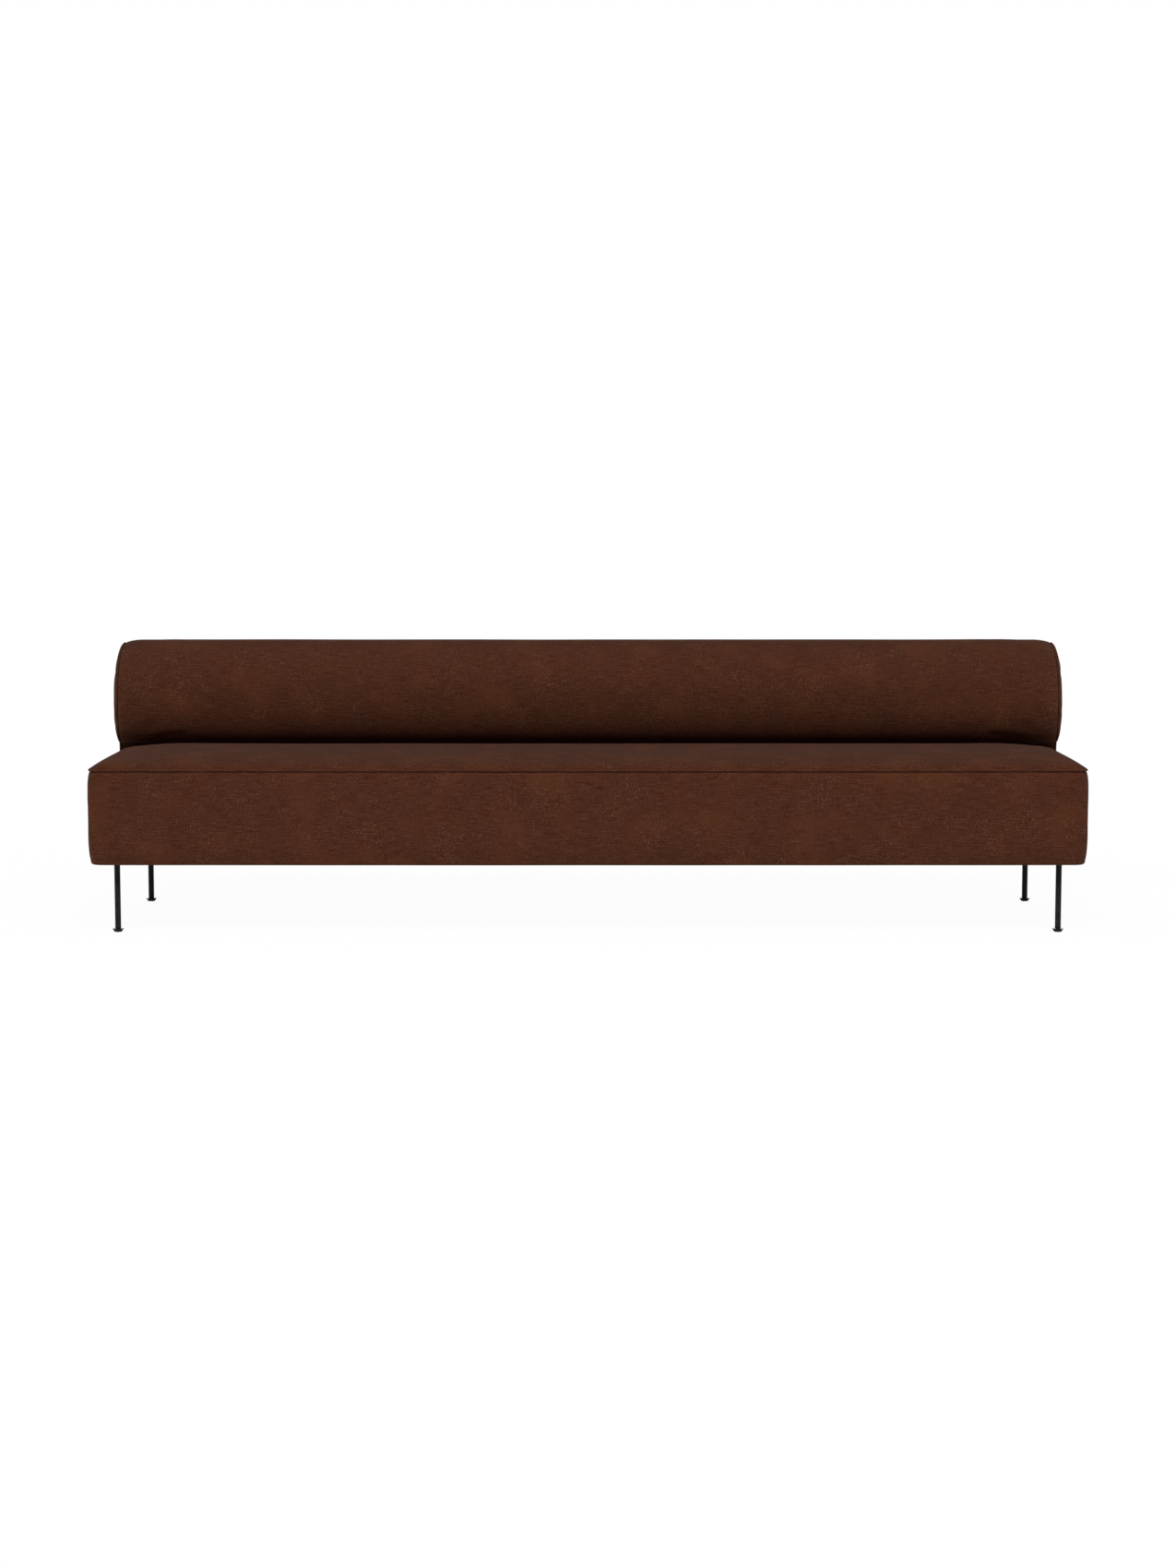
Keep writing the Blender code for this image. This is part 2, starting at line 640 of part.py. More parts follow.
def make_seat_cover(parent):
    """The crowned top panel, the border round the box and the piping sewn in between them."""
    panel = list(reversed(pad_rings(FABRIC))) + pad_rings(0.0)
    finish_mesh(loft(panel), "seat_top_panel", "fabric", parent)
    outer = [seat_ring(inset, z) for inset, z in border_section(0.0)]
    inner = [seat_ring(inset, z) for inset, z in border_section(FABRIC)]
    finish_mesh(loft(outer + inner[::-1], closed=True), "seat_border", "fabric", parent)
    rings = []
    for i in range(PIPING_SIDES):
        turn = 2 * math.pi * i / PIPING_SIDES
        inset = PIPING_RADIUS - PIPING_PROUD - PIPING_RADIUS * math.cos(turn)
        rings.append(seat_ring(inset, SEAM_HEIGHT + GAP + PIPING_RADIUS * (1 + math.sin(turn))))
    finish_mesh(loft(rings, closed=True), "seat_piping", "piping", parent)


def make_dust_cover(parent):
    """Cloth under the frame, inside the border's flange, with a hole for each leg."""
    high = RAIL_BOTTOM - GAP
    outline = plan_outline(HALF_LENGTH - UNDER_FLANGE - GAP, -HALF_DEPTH + UNDER_FLANGE + GAP,
                           HALF_DEPTH - UNDER_FLANGE - GAP)
    cover = finish_mesh(upright(outline, high - DUST_CLOTH, high), "dust_cover", "dust_cloth", parent)
    for name, side_x, side_y, quarter in CORNERS:
        radius = ROD_RADIUS + GAP
        shape = turned([(radius, high - UNDER_FLANGE), (radius, high + UNDER_FLANGE)], ROUND_SIDES)
        place = (side_x * LEG_X, side_y * LEG_Y, 0)
        hole = finish_mesh(shape, f"leg_hole_cutter_{name}", "dust_cloth", parent, place)
        boolean(cover, hole, "DIFFERENCE")


def make_back_frame(parent):
    """Ribs, rear panel and the bent board over the ribs' noses."""
    rear_inset = HALF_DEPTH - BACK_PANEL_FRONT + GAP
    outline = roll_path(RIB_INSET, 0.0, rear_inset, SILL_TOP + GAP)
    for number in range(1, RIB_COUNT + 1):
        x = (number - (RIB_COUNT + 1) / 2) * RIB_SPACING
        shape = prism(outline, -RIB_THICKNESS / 2, RIB_THICKNESS / 2)
        finish_mesh(shape, f"back_rib_{number}", "plywood", parent, (x, 0, 0))
    block("back_rear_panel", "plywood", parent, (-BACK_FRAME_X, BACK_PANEL_FRONT, SILL_TOP + GAP),
          (BACK_FRAME_X, BACK_PANEL_REAR, REAR_SHOULDER - GAP))
    last = STEM_POINTS + LOWER_STEPS + UPPER_STEPS + 1
    outer = roll_path(ROLL_PAD, 0.0, rear_inset, SILL_TOP)[STEM_POINTS:last]
    inner = roll_path(ROLL_PAD + SKIN_BOARD, 0.0, rear_inset, SILL_TOP)[STEM_POINTS:last]
    stations = [(at_x(x, outer), at_x(x, inner)) for x in (-BACK_FRAME_X, BACK_FRAME_X)]
    finish_mesh(strip_loft(stations), "back_nose_board", "board", parent)


def make_back_foam(parent):
    """Foam over the back's frame, open below where the frame goes in."""
    inset = FABRIC + GAP
    rings = [at_x(x, roll_path(inset, draw_at(x), inset, BACK_BOTTOM)) for x in back_stations()]
    foam = finish_mesh(loft(rings), "back_foam", "foam", parent)
    rear_inset = HALF_DEPTH - BACK_PANEL_REAR - GAP
    outline = roll_path(ROLL_PAD - GAP, 0.0, rear_inset, DECK_BOTTOM)
    side = BACK_FRAME_X + GAP
    bay = finish_mesh(prism(outline, -side, side), "back_bay_cutter", "foam", parent)
    boolean(foam, bay, "DIFFERENCE")


def make_back_cover(parent):
    """The wrap over the roll, the plain rear panel and the two swelling end pads."""
    fronts = []
    rears = []
    for x in back_stations():
        outer = at_x(x, roll_path(0.0, draw_at(x), 0.0, BACK_BOTTOM))
        inner = at_x(x, roll_path(FABRIC, draw_at(x), FABRIC, BACK_BOTTOM))
        fronts.append((outer[:-1], inner[:-1]))
        seam = REAR_SHOULDER - GAP
        rears.append(([(x, outer[-1][1], seam), outer[-1]], [(x, inner[-1][1], seam), inner[-1]]))
    finish_mesh(strip_loft(fronts), "back_front_cover", "fabric", parent)
    finish_mesh(strip_loft(rears), "back_rear_cover", "fabric", parent)
    make_back_end("back_end_pad_left", -1, parent)
    make_back_end("back_end_pad_right", 1, parent)


def make_back_end(name, side, parent):
    """A sewn end panel with its wadding: flat inside, swelling outward from the seam."""
    reach = END_CORE_SHARE * (min(ROLL_OVERHANG - ROLL_SHELF, REAR_ROUND) - END_DRAW)
    rings = [at_x(side * BACK_HALF, roll_path(0.0, END_DRAW, 0.0, BACK_BOTTOM))]
    for share in END_PAD_RINGS:
        inset = share * reach
        x = BACK_HALF + FABRIC + (END_BULGE - FABRIC) * pillow(share)
        rings.append(at_x(side * x, roll_path(inset, END_DRAW, inset, BACK_BOTTOM)))
    finish_mesh(loft(rings), name, "fabric", parent)


def main():
    clear_scene()
    sofa = group("dining_sofa")
    seat = group("seat_assembly", sofa)
    back = group("back_assembly", sofa)
    make_seat_frame(seat)
    make_deck_and_sill(seat, back)
    make_bolts(seat)
    make_legs(seat)
    make_cross_straps(seat)
    make_long_straps(seat)
    make_seat_foam(seat)
    make_seat_topper(seat)
    make_seat_cover(seat)
    make_dust_cover(seat)
    make_back_frame(back)
    make_back_foam(back)
    make_back_cover(back)


main()
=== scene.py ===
"""Dining sofa: the looks. Sewn covers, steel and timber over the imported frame, in a plain bright studio.

Metres, +Z up, the sofa's front facing -Y. Each soft form keeps the place and size of the CAD solids that it
stands for, to a few millimetres.
"""

import json
import math

import bmesh
import bpy
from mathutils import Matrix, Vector, kdtree, noise

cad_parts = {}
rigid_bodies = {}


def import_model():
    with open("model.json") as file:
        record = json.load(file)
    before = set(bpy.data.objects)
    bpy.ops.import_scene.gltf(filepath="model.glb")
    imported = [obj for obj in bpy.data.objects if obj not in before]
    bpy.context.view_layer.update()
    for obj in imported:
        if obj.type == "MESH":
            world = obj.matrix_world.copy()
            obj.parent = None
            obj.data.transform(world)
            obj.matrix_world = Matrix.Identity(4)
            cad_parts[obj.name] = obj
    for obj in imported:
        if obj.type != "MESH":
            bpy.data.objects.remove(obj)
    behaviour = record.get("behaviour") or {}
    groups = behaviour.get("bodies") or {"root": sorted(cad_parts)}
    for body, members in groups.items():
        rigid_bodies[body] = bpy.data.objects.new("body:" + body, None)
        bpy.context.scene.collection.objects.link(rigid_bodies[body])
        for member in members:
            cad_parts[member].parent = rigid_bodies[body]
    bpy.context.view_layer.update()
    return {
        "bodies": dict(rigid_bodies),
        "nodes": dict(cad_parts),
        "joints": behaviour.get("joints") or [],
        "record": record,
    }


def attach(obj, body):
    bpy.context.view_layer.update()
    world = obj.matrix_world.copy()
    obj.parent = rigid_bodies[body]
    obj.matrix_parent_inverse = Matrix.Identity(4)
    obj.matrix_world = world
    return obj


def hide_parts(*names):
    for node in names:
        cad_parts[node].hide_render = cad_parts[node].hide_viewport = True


# Room that the CAD leaves between neighbours
GAP = 0.0003

# Seat box and pad
HALF_LENGTH = 1.328
HALF_DEPTH = 0.349
SEAT_UNDERSIDE = 0.1885
SEAM_HEIGHT = 0.4385
CORNER_RADIUS = 0.020
BOTTOM_EDGE_RADIUS = 0.010
BOTTOM_SAG = 0.0024
WALL_BULGE = 0.005
WALL_FULLNESS = 4
FACE_SWELL = 0.005
END_SWELL = 0.008
SWELL_POWER = 7
UNDER_FLANGE = 0.035
PIPING_RADIUS = 0.0030
PIPING_PROUD = 0.002
LIP_TOP = SEAM_HEIGHT + GAP + 2 * PIPING_RADIUS
EDGE_RISE = 0.014
EDGE_REACH = 0.032
PAD_RISE = 0.015
PAD_REACH = 0.2015
REAR_REACH = 0.045
PANEL_INSET = 0.0053

# Back roll
BACK_SETBACK = 0.005
BACK_HEIGHT = 0.314
ROLL_DEPTH = 0.254
ROLL_OVERHANG = 0.072
ROLL_NOSE_SHARE = 0.364
ROLL_SETTLE = 0.0035
ROLL_SHELF = 0.006
ROLL_FULLNESS = 2.2
REAR_ROUND = 0.067
BACK_HALF = HALF_LENGTH - BACK_SETBACK
BACK_BOTTOM = LIP_TOP + GAP
BACK_TOP = LIP_TOP + BACK_HEIGHT
ROLL_BOTTOM = LIP_TOP + EDGE_RISE + PAD_RISE - ROLL_SETTLE
ROLL_NOSE_HEIGHT = ROLL_BOTTOM + ROLL_NOSE_SHARE * (BACK_TOP - ROLL_BOTTOM)
ROLL_FRONT = HALF_DEPTH - ROLL_DEPTH
ROLL_TOP_Y = HALF_DEPTH - REAR_ROUND
REAR_SHOULDER = BACK_TOP - REAR_ROUND
STEM_FRONT = ROLL_FRONT + ROLL_OVERHANG
PAD_REAR = STEM_FRONT - 2 * GAP
END_DRAW = 0.0070
END_DRAW_REACH = 0.045
END_BULGE = 0.0126
END_TAPER = 0.2
END_REACH = 0.050
PILLOW_FULLNESS = 3.8

# Cloth
FABRIC = 0.002
TUCK = 0.0035
TUCK_WIDTH = 0.002
SEAM_LAP = 0.0015
SEAM_PULL = 0.0019
SEAM_PULL_REACH = 0.0010
SEAM_ROWS = (2.0, 1.0, 0.5, 0.0)
SLACK = 0.001
SWELL_LIMIT = 0.003
SIM_FRAMES = 20
SIM_PRESSURE = 4.0
PUCKER = 0.0004
PUCKER_REACH = 0.012
PUCKER_SCALE = 70.0
UNEVEN = 0.0006
UNEVEN_SCALE = 4.0

# Legs and feet
LEG_INSET = 0.0628
LEG_X = HALF_LENGTH - LEG_INSET
LEG_Y = HALF_DEPTH - LEG_INSET
FOOT_HEIGHT = 0.009
FOOT_RIM_RADIUS = 0.0145
FOOT_SOLE_RADIUS = 0.0105
FOOT_RIM_THICKNESS = 0.0025
FOOT_ROUND = 0.0006
ROD_RADIUS = 0.008
ROD_CHAMFER = 0.0008
ROD_BOTTOM = FOOT_HEIGHT + GAP
PLATE_SIZE = 0.064
PLATE_THICKNESS = 0.005
PLATE_EDGE = 0.0008
PLATE_OUTWARD = 0.0199
PLATE_LOW = SEAT_UNDERSIDE + FABRIC + 2 * GAP
WELD_NEAR = 0.00001
STUD_RADIUS = 0.004
STUD_LENGTH = 0.036
STUD_TOP = FOOT_HEIGHT + STUD_LENGTH
THREAD_PITCH = 0.00125
THREAD_DEPTH = 0.0006
ROUND_SIDES = 40
SHARP_ANGLE = math.radians(40)

# Dust cloth
DUST_LIFT = 0.0015
DUST_HEIGHT = SEAT_UNDERSIDE + DUST_LIFT
DUST_SAG = 0.003
DUST_RIPPLE = 0.0012
DUST_RIPPLES_LONG = 3
DUST_RIPPLES_DEEP = 9
DUST_COLUMNS = 120
DUST_ROWS = 36

# Grid counts of the fine covers
LONG_STEPS = 160
PAD_STEPS = 40
LIP_STEPS = 10
SPACING_BLEND = 0.6
CORNER_STEPS = 6
SIDE_STEPS = 40
WALL_STEPS = 14
EDGE_STEPS = 5
LOWER_STEPS = 16
UPPER_STEPS = 20
REAR_STEPS = 10
STEM_STEPS = 4
REAR_ROWS = 22
END_RINGS = 12
END_SIDE_STEPS = 8
MIDDLE_CUTS = 3
PIPING_SIDES = 12

# Studio light and floor
AMBIENT = 0.01
FLOOR_SIZE = 40
FLOOR_BOUNCE = 0.9
FLOOR_DIM = 0.15
BOUNCE_NEAR = -1.4
BOUNCE_FAR = -2.4
FLOOR_GLOW = 0.96
FLOOR_NEAR = 1.6
FLOOR_FAR = 3.2

# Lamps: place, target, width and height, watts, spread in degrees
SOFA_MIDDLE = (0, 0, 0.45)
LAMPS = {
    "front_box": ((0, -7.35, 9.85), SOFA_MIDDLE, (11.0, 3.6), 1520, 180),
    "floor_wash": ((0, -1.3, 3.0), (0, -1.3, 0), (7.0, 1.4), 9, 20),
    "rear_box": ((0, 5.0, 1.4), SOFA_MIDDLE, (5.0, 1.6), 170, 180),
    "left_end_box": ((-5.2, 0.2, 0.9), SOFA_MIDDLE, (2.0, 1.6), 45, 180),
    "right_end_box": ((5.2, 0.2, 0.9), SOFA_MIDDLE, (2.0, 1.6), 45, 180),
}

# Camera of the photograph, and its 1275 by 1700 frame
CAMERA_PLACE = (0.0, -7.684, 1.1640)
CAMERA_PITCH = 5.9
FOCAL_PIXELS = 3010
FRAME_HEIGHT = 1700
SENSOR = 36.0

# Cover cloth: cells to the metre along and across it, and the pitch of its threads
LONG_SLUBS = (24.0, 380.0, 1.0)
CROSS_SLUBS = (400.0, 50.0, 1.0)
FINE_GRAIN = (420.0, 460.0, 1.0)
SPECK_CELLS = (260.0, 340.0, 1.0)
COVER_PITCH = 0.0017

# Texture places: no stretch, the turn of cloth cut on the bias, and the Wave node's own radians to the unit
EVEN_SCALE = (1.0, 1.0, 1.0)
BIAS_TURN = math.pi / 4
WAVE_RATE = 20

# Thread colours of the cover, linear
DARK_THREAD = (0.0505, 0.0122, 0.0047)
LIGHT_THREAD = (0.0900, 0.0358, 0.0206)
WARM_THREAD = (0.0930, 0.0308, 0.0138)
DEEP_THREAD = (0.0560, 0.0192, 0.0112)
PALE_SPECK = (0.1680, 0.0845, 0.0540)
DARK_SPECK = (0.0340, 0.0080, 0.0030)

# Black coating of the legs, linear, plain and slightly worn
COATING_BLACK = (0.0110, 0.0110, 0.0115)
COATING_WORN = (0.0180, 0.0180, 0.0185)

# Colours of the frame and of the cloths under it, linear
BEECH_LIGHT = (0.50, 0.32, 0.17)
BEECH_DARK = (0.38, 0.22, 0.11)
HARDBOARD_LIGHT = (0.24, 0.15, 0.08)
HARDBOARD_DARK = (0.17, 0.10, 0.05)
VENEER_LIGHT = (0.58, 0.41, 0.25)
VENEER_DARK = (0.44, 0.29, 0.16)
VENEER_CROSS = (0.36, 0.23, 0.12)
WEBBING_BLACK = (0.010, 0.010, 0.011)
WEBBING_GREY = (0.030, 0.029, 0.028)
WEBBING_FUZZ = (0.10, 0.09, 0.08)
SPUN_BLACK = (0.011, 0.011, 0.012)
SPUN_GREY = (0.030, 0.030, 0.031)
ZINC_DULL = (0.42, 0.43, 0.45)
ZINC_BRIGHT = (0.58, 0.58, 0.57)

# Timber grain, cells to the metre, and how much finer its pores are
GRAIN_ACROSS = 90.0
GRAIN_ALONG = 4.0
PORES_FINER = 6

LONG_TIMBER = ("front_rail", "rear_rail", "back_support_rail", "webbing_batten")
CORNERS = {"front_left": (-1, -1), "front_right": (1, -1), "rear_left": (-1, 1), "rear_right": (1, 1)}


def ease(share):
    """A rise from 0 to 1 that flattens out; the share of the way is held between 0 and 1."""
    left = 1.0 - min(max(share, 0.0), 1.0)
    return 1.0 - left * left


def pillow(share):
    """A rise from 0 to 1 that starts upright and ends flat, like a sewn-in pad's edge."""
    return (1.0 - (1.0 - share) ** PILLOW_FULLNESS) ** (1 / PILLOW_FULLNESS)


def spaced(count):
    """Places from -1 to 1, closer together towards both ends."""
    places = []
    for i in range(count + 1):
        share = 2.0 * i / count - 1.0
        places.append((1 - SPACING_BLEND) * share + SPACING_BLEND * math.sin(share * math.pi / 2))
    return places


def swollen(x, y):
    """Push a plan point outward where the seat's long and short faces swell between their corners."""
    along_x = x / HALF_LENGTH
    along_y = y / HALF_DEPTH
    push_x = END_SWELL * (1 - along_y * along_y) * along_x ** SWELL_POWER
    push_y = FACE_SWELL * (1 - along_x * along_x) * along_y ** SWELL_POWER
    return x + push_x, y + push_y


def grid_piece(name, points, places, closed, centre):
    """A sheet of quads from rows of points, with a cloth map in metres, facing away from the centre."""
    shape = bmesh.new()
    rows = [[shape.verts.new(point) for point in row] for row in points]
    cloth_map = shape.loops.layers.uv.new("cloth")
    count = len(points[0])
    columns = count if closed else count - 1
    balance = 0.0
    for r in range(len(rows) - 1):
        for c in range(columns):
            d = (c + 1) % count
            face = shape.faces.new((rows[r][c], rows[r][d], rows[r + 1][d], rows[r + 1][c]))
            corners = (places[r][c], places[r][c + 1], places[r + 1][c + 1], places[r + 1][c])
            for loop, place in zip(face.loops, corners):
                loop[cloth_map].uv = place
            face.normal_update()
            balance += face.normal.dot(face.calc_center_median() - Vector(centre)) * face.calc_area()
    if balance < 0:
        bmesh.ops.reverse_faces(shape, faces=shape.faces[:])
    return mesh_piece(name, shape)


def mesh_piece(name, shape):
    """A smooth-shaded object of a finished shape, which is freed."""
    mesh = bpy.data.meshes.new(name)
    shape.to_mesh(mesh)
    shape.free()
    mesh.shade_smooth()
    piece = bpy.data.objects.new(name, mesh)
    bpy.context.scene.collection.objects.link(piece)
    return piece


def sewn_edge(mesh):
    """Indices of the points on a sheet's free edges."""
    shape = bmesh.new()
    shape.from_mesh(mesh)
    found = [vertex.index for vertex in shape.verts if vertex.is_boundary]
    shape.free()
    return found


def read_points(mesh):
    """The places of a mesh's points."""
    values = [0.0] * (3 * len(mesh.vertices))
    mesh.vertices.foreach_get("co", values)
    return [Vector(values[i:i + 3]) for i in range(0, len(values), 3)]


def write_points(mesh, points):
    """Move a mesh's points to new places."""
    mesh.vertices.foreach_set("co", [value for point in points for value in point])
    mesh.update()


def inflate(piece, pinned):
    """Blow a cover up between its seams with a short cloth simulation that starts a little slack.

    The padding keeps the cloth from drawing in, so only its outward movement stays, up to a limit.
    """
    mesh = piece.data
    fixed = set(pinned)
    points = read_points(mesh)
    normals = [vertex.normal.copy() for vertex in mesh.vertices]
    for i, normal in enumerate(normals):
        if i not in fixed:
            points[i] -= normal * SLACK
    write_points(mesh, points)
    piece.vertex_groups.new(name="seams").add(pinned, 1.0, "REPLACE")
    cloth = piece.modifiers.new("cloth", "CLOTH")
    cloth.settings.vertex_group_mass = "seams"
    cloth.settings.use_pressure = True
    cloth.settings.uniform_pressure_force = SIM_PRESSURE
    cloth.settings.effector_weights.gravity = 0.0
    cloth.collision_settings.use_collision = False
    cloth.point_cache.frame_end = SIM_FRAMES
    scene = bpy.context.scene
    for frame in range(1, SIM_FRAMES + 1):
        scene.frame_set(frame)
    blown = read_points(piece.evaluated_get(bpy.context.evaluated_depsgraph_get()).data)
    piece.modifiers.remove(cloth)
    scene.frame_set(1)
    for i, normal in enumerate(normals):
        swell = max((blown[i] - points[i]).dot(normal), 0.0)
        points[i] += normal * SWELL_LIMIT * math.tanh(swell / SWELL_LIMIT)
    write_points(mesh, points)


def pucker(piece, pinned):
    """Small gathers along the seams and a slight unevenness all over."""
    mesh = piece.data
    points = read_points(mesh)
    seams = kdtree.KDTree(len(pinned))
    for i in pinned:
        seams.insert(points[i], i)
    seams.balance()
    normals = [vertex.normal.copy() for vertex in mesh.vertices]
    for i, point in enumerate(points):
        distance = seams.find(point)[2]
        near = math.exp(-distance / PUCKER_REACH)
        away = 1.0 - math.exp(-distance / EDGE_REACH)
        gather = PUCKER * near * noise.noise(point * PUCKER_SCALE)
        uneven = UNEVEN * away * noise.noise(point * UNEVEN_SCALE)
        points[i] = point + normals[i] * (gather + uneven)
    write_points(mesh, points)


def sew(piece, fill, *nodes, held=()):
    """The cloth stays down at its sewn edges and at the points that something holds.
    """
    pinned = sorted({*sewn_edge(piece.data), *held})
    inflate(piece, pinned)
    pucker(piece, pinned)
    thickness = piece.modifiers.new("thickness", "SOLIDIFY")
    thickness.thickness = FABRIC
    thickness.offset = -1.0
    smooth = piece.modifiers.new("smooth", "SUBSURF")
    smooth.levels = 1
    smooth.render_levels = 1
    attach(piece, "sofa")
    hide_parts(*nodes)
    return piece


def crown(x, y):
    """Rise of the seat pad over its seam at one plan point."""
    to_end = HALF_LENGTH - PANEL_INSET - abs(x)
    to_front = y + HALF_DEPTH - PANEL_INSET
    edge = EDGE_RISE * ease(to_end / EDGE_REACH) * ease(to_front / EDGE_REACH)
    pad = PAD_RISE * ease(to_end / PAD_REACH) * ease(to_front / PAD_REACH)
    return (edge + pad) * ease((PAD_REAR - y) / REAR_REACH)


def round_corner(x, y, half_x, front, rear):
    """Move a point of a rectangle inward so that the rectangle's corners become arcs."""
    side_x = math.copysign(1, x)
    side_y = 1 if y > (front + rear) / 2 else -1
    centre_x = side_x * (half_x - CORNER_RADIUS)
    centre_y = (front + rear) / 2 + side_y * ((rear - front) / 2 - CORNER_RADIUS)
    across = side_x * (x - centre_x) / CORNER_RADIUS
    along = side_y * (y - centre_y) / CORNER_RADIUS
    if across <= 0 or along <= 0:
        return x, y
    new_x = centre_x + (x - centre_x) * math.sqrt(1 - along * along / 2)
    new_y = centre_y + (y - centre_y) * math.sqrt(1 - across * across / 2)
    return new_x, new_y


def make_seat_top():
    """The crowned top panel, its edge tucked down behind the piping, its rear lying flat under the back."""
    half_x = HALF_LENGTH - PANEL_INSET
    front = -HALF_DEPTH + PANEL_INSET
    rear = HALF_DEPTH - PANEL_INSET
    columns = spaced(LONG_STEPS)
    rows = [front + (PAD_REAR - front) * (place + 1) / 2 for place in spaced(PAD_STEPS)]
    rows += [PAD_REAR + (rear - PAD_REAR) * (place + 1) / 2 for place in spaced(LIP_STEPS)[1:]]
    points = []
    places = []
    for row in rows:
        points.append([])
        places.append([])
        for column in columns:
            x, y = round_corner(column * half_x, row, half_x, front, rear)
            height = LIP_TOP + crown(x, y)
            if row in (rows[0], rows[-1]) or abs(column) == 1:
                height -= TUCK
            x, y = swollen(x, y)
            points[-1].append((x, y, height))
            places[-1].append((x, y))
    piece = grid_piece("seat_top_cover", points, places, False, (0, 0, 0))
    under_back = [vertex.index for vertex in piece.data.vertices if vertex.co.y >= PAD_REAR]
    return sew(piece, 0.85, "seat_top_panel", "seat_topper", held=under_back)


def plan_outline(inset):
    """The seat box's outline in plan, drawn in by inset, with rounded corners and swelling sides."""
    right = HALF_LENGTH - inset - CORNER_RADIUS
    rear = HALF_DEPTH - inset - CORNER_RADIUS
    corners = ((right, rear), (-right, rear), (-right, -rear), (right, -rear))
    outline = []
    for quarter, (x, y) in enumerate(corners):
        for i in range(CORNER_STEPS + 1):
            turn = math.pi / 2 * (quarter + i / CORNER_STEPS)
            outline.append((x + CORNER_RADIUS * math.cos(turn), y + CORNER_RADIUS * math.sin(turn)))
        start = outline[-1]
        turn = math.pi / 2 * (quarter + 1)
        next_x, next_y = corners[(quarter + 1) % 4]
        end = (next_x + CORNER_RADIUS * math.cos(turn), next_y + CORNER_RADIUS * math.sin(turn))
        steps = LONG_STEPS if quarter % 2 == 0 else SIDE_STEPS
        for place in spaced(steps)[1:-1]:
            share = (place + 1) / 2
            outline.append((start[0] + (end[0] - start[0]) * share, start[1] + (end[1] - start[1]) * share))
    return [swollen(x, y) for x, y in outline]


def ring_rows(section):
    """Rows of points and cloth places of a loft round the seat, one row for each inset and height."""
    points = []
    places = []
    down = 0.0
    last = section[0]
    for inset, height in section:
        down += math.hypot(inset - last[0], height - last[1])
        last = (inset, height)
        outline = plan_outline(inset)
        points.append([(x, y, height) for x, y in outline])
        along = 0.0
        row = [(0.0, down)]
        for i, (x, y) in enumerate(outline):
            next_x, next_y = outline[(i + 1) % len(outline)]
            along += math.hypot(next_x - x, next_y - y)
            row.append((along, down))
        places.append(row)
    return points, places


def make_seat_border():
    """The cover round the box, from its stapled flange underneath to the seam under the piping."""
    low = SEAT_UNDERSIDE - BOTTOM_SAG
    section = [(UNDER_FLANGE, SEAT_UNDERSIDE), ((UNDER_FLANGE + BOTTOM_EDGE_RADIUS) / 2, low)]
    for i in range(EDGE_STEPS + 1):
        turn = math.pi / 2 * i / EDGE_STEPS
        inset = BOTTOM_EDGE_RADIUS * (1 - math.sin(turn))
        section.append((inset, low + BOTTOM_EDGE_RADIUS * (1 - math.cos(turn))))
    foot = low + BOTTOM_EDGE_RADIUS
    heights = [foot + (SEAM_HEIGHT - foot) * (place + 1) / 2 for place in spaced(WALL_STEPS)[1:-1]]
    heights += [SEAM_HEIGHT - SEAM_PULL_REACH * share for share in SEAM_ROWS]
    for height in heights:
        place = 2 * (height - foot) / (SEAM_HEIGHT - foot) - 1
        pull = SEAM_PULL * math.exp((height - SEAM_HEIGHT) / SEAM_PULL_REACH)
        section.append((pull - WALL_BULGE * (1 - place ** WALL_FULLNESS), height))
    section.append((SEAM_PULL + TUCK_WIDTH, SEAM_HEIGHT + TUCK_WIDTH))
    points, places = ring_rows(section)
    piece = grid_piece("seat_border_cover", points, places, True, (0, 0, SEAM_HEIGHT / 2))
    return sew(piece, 0.8, "seat_border", "seat_foam")


def make_piping():
    """The corded welt between the top panel and the border."""
    section = []
    for i in range(PIPING_SIDES + 1):
        turn = 2 * math.pi * i / PIPING_SIDES
        inset = PIPING_RADIUS - PIPING_PROUD - PIPING_RADIUS * math.cos(turn)
        section.append((inset, LIP_TOP - PIPING_RADIUS + PIPING_RADIUS * math.sin(turn)))
    points, places = ring_rows(section)
    piece = grid_piece("seat_piping_cord", points, places, True, (0, 0, SEAM_HEIGHT))
    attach(piece, "sofa")
    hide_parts("seat_piping")
    return piece


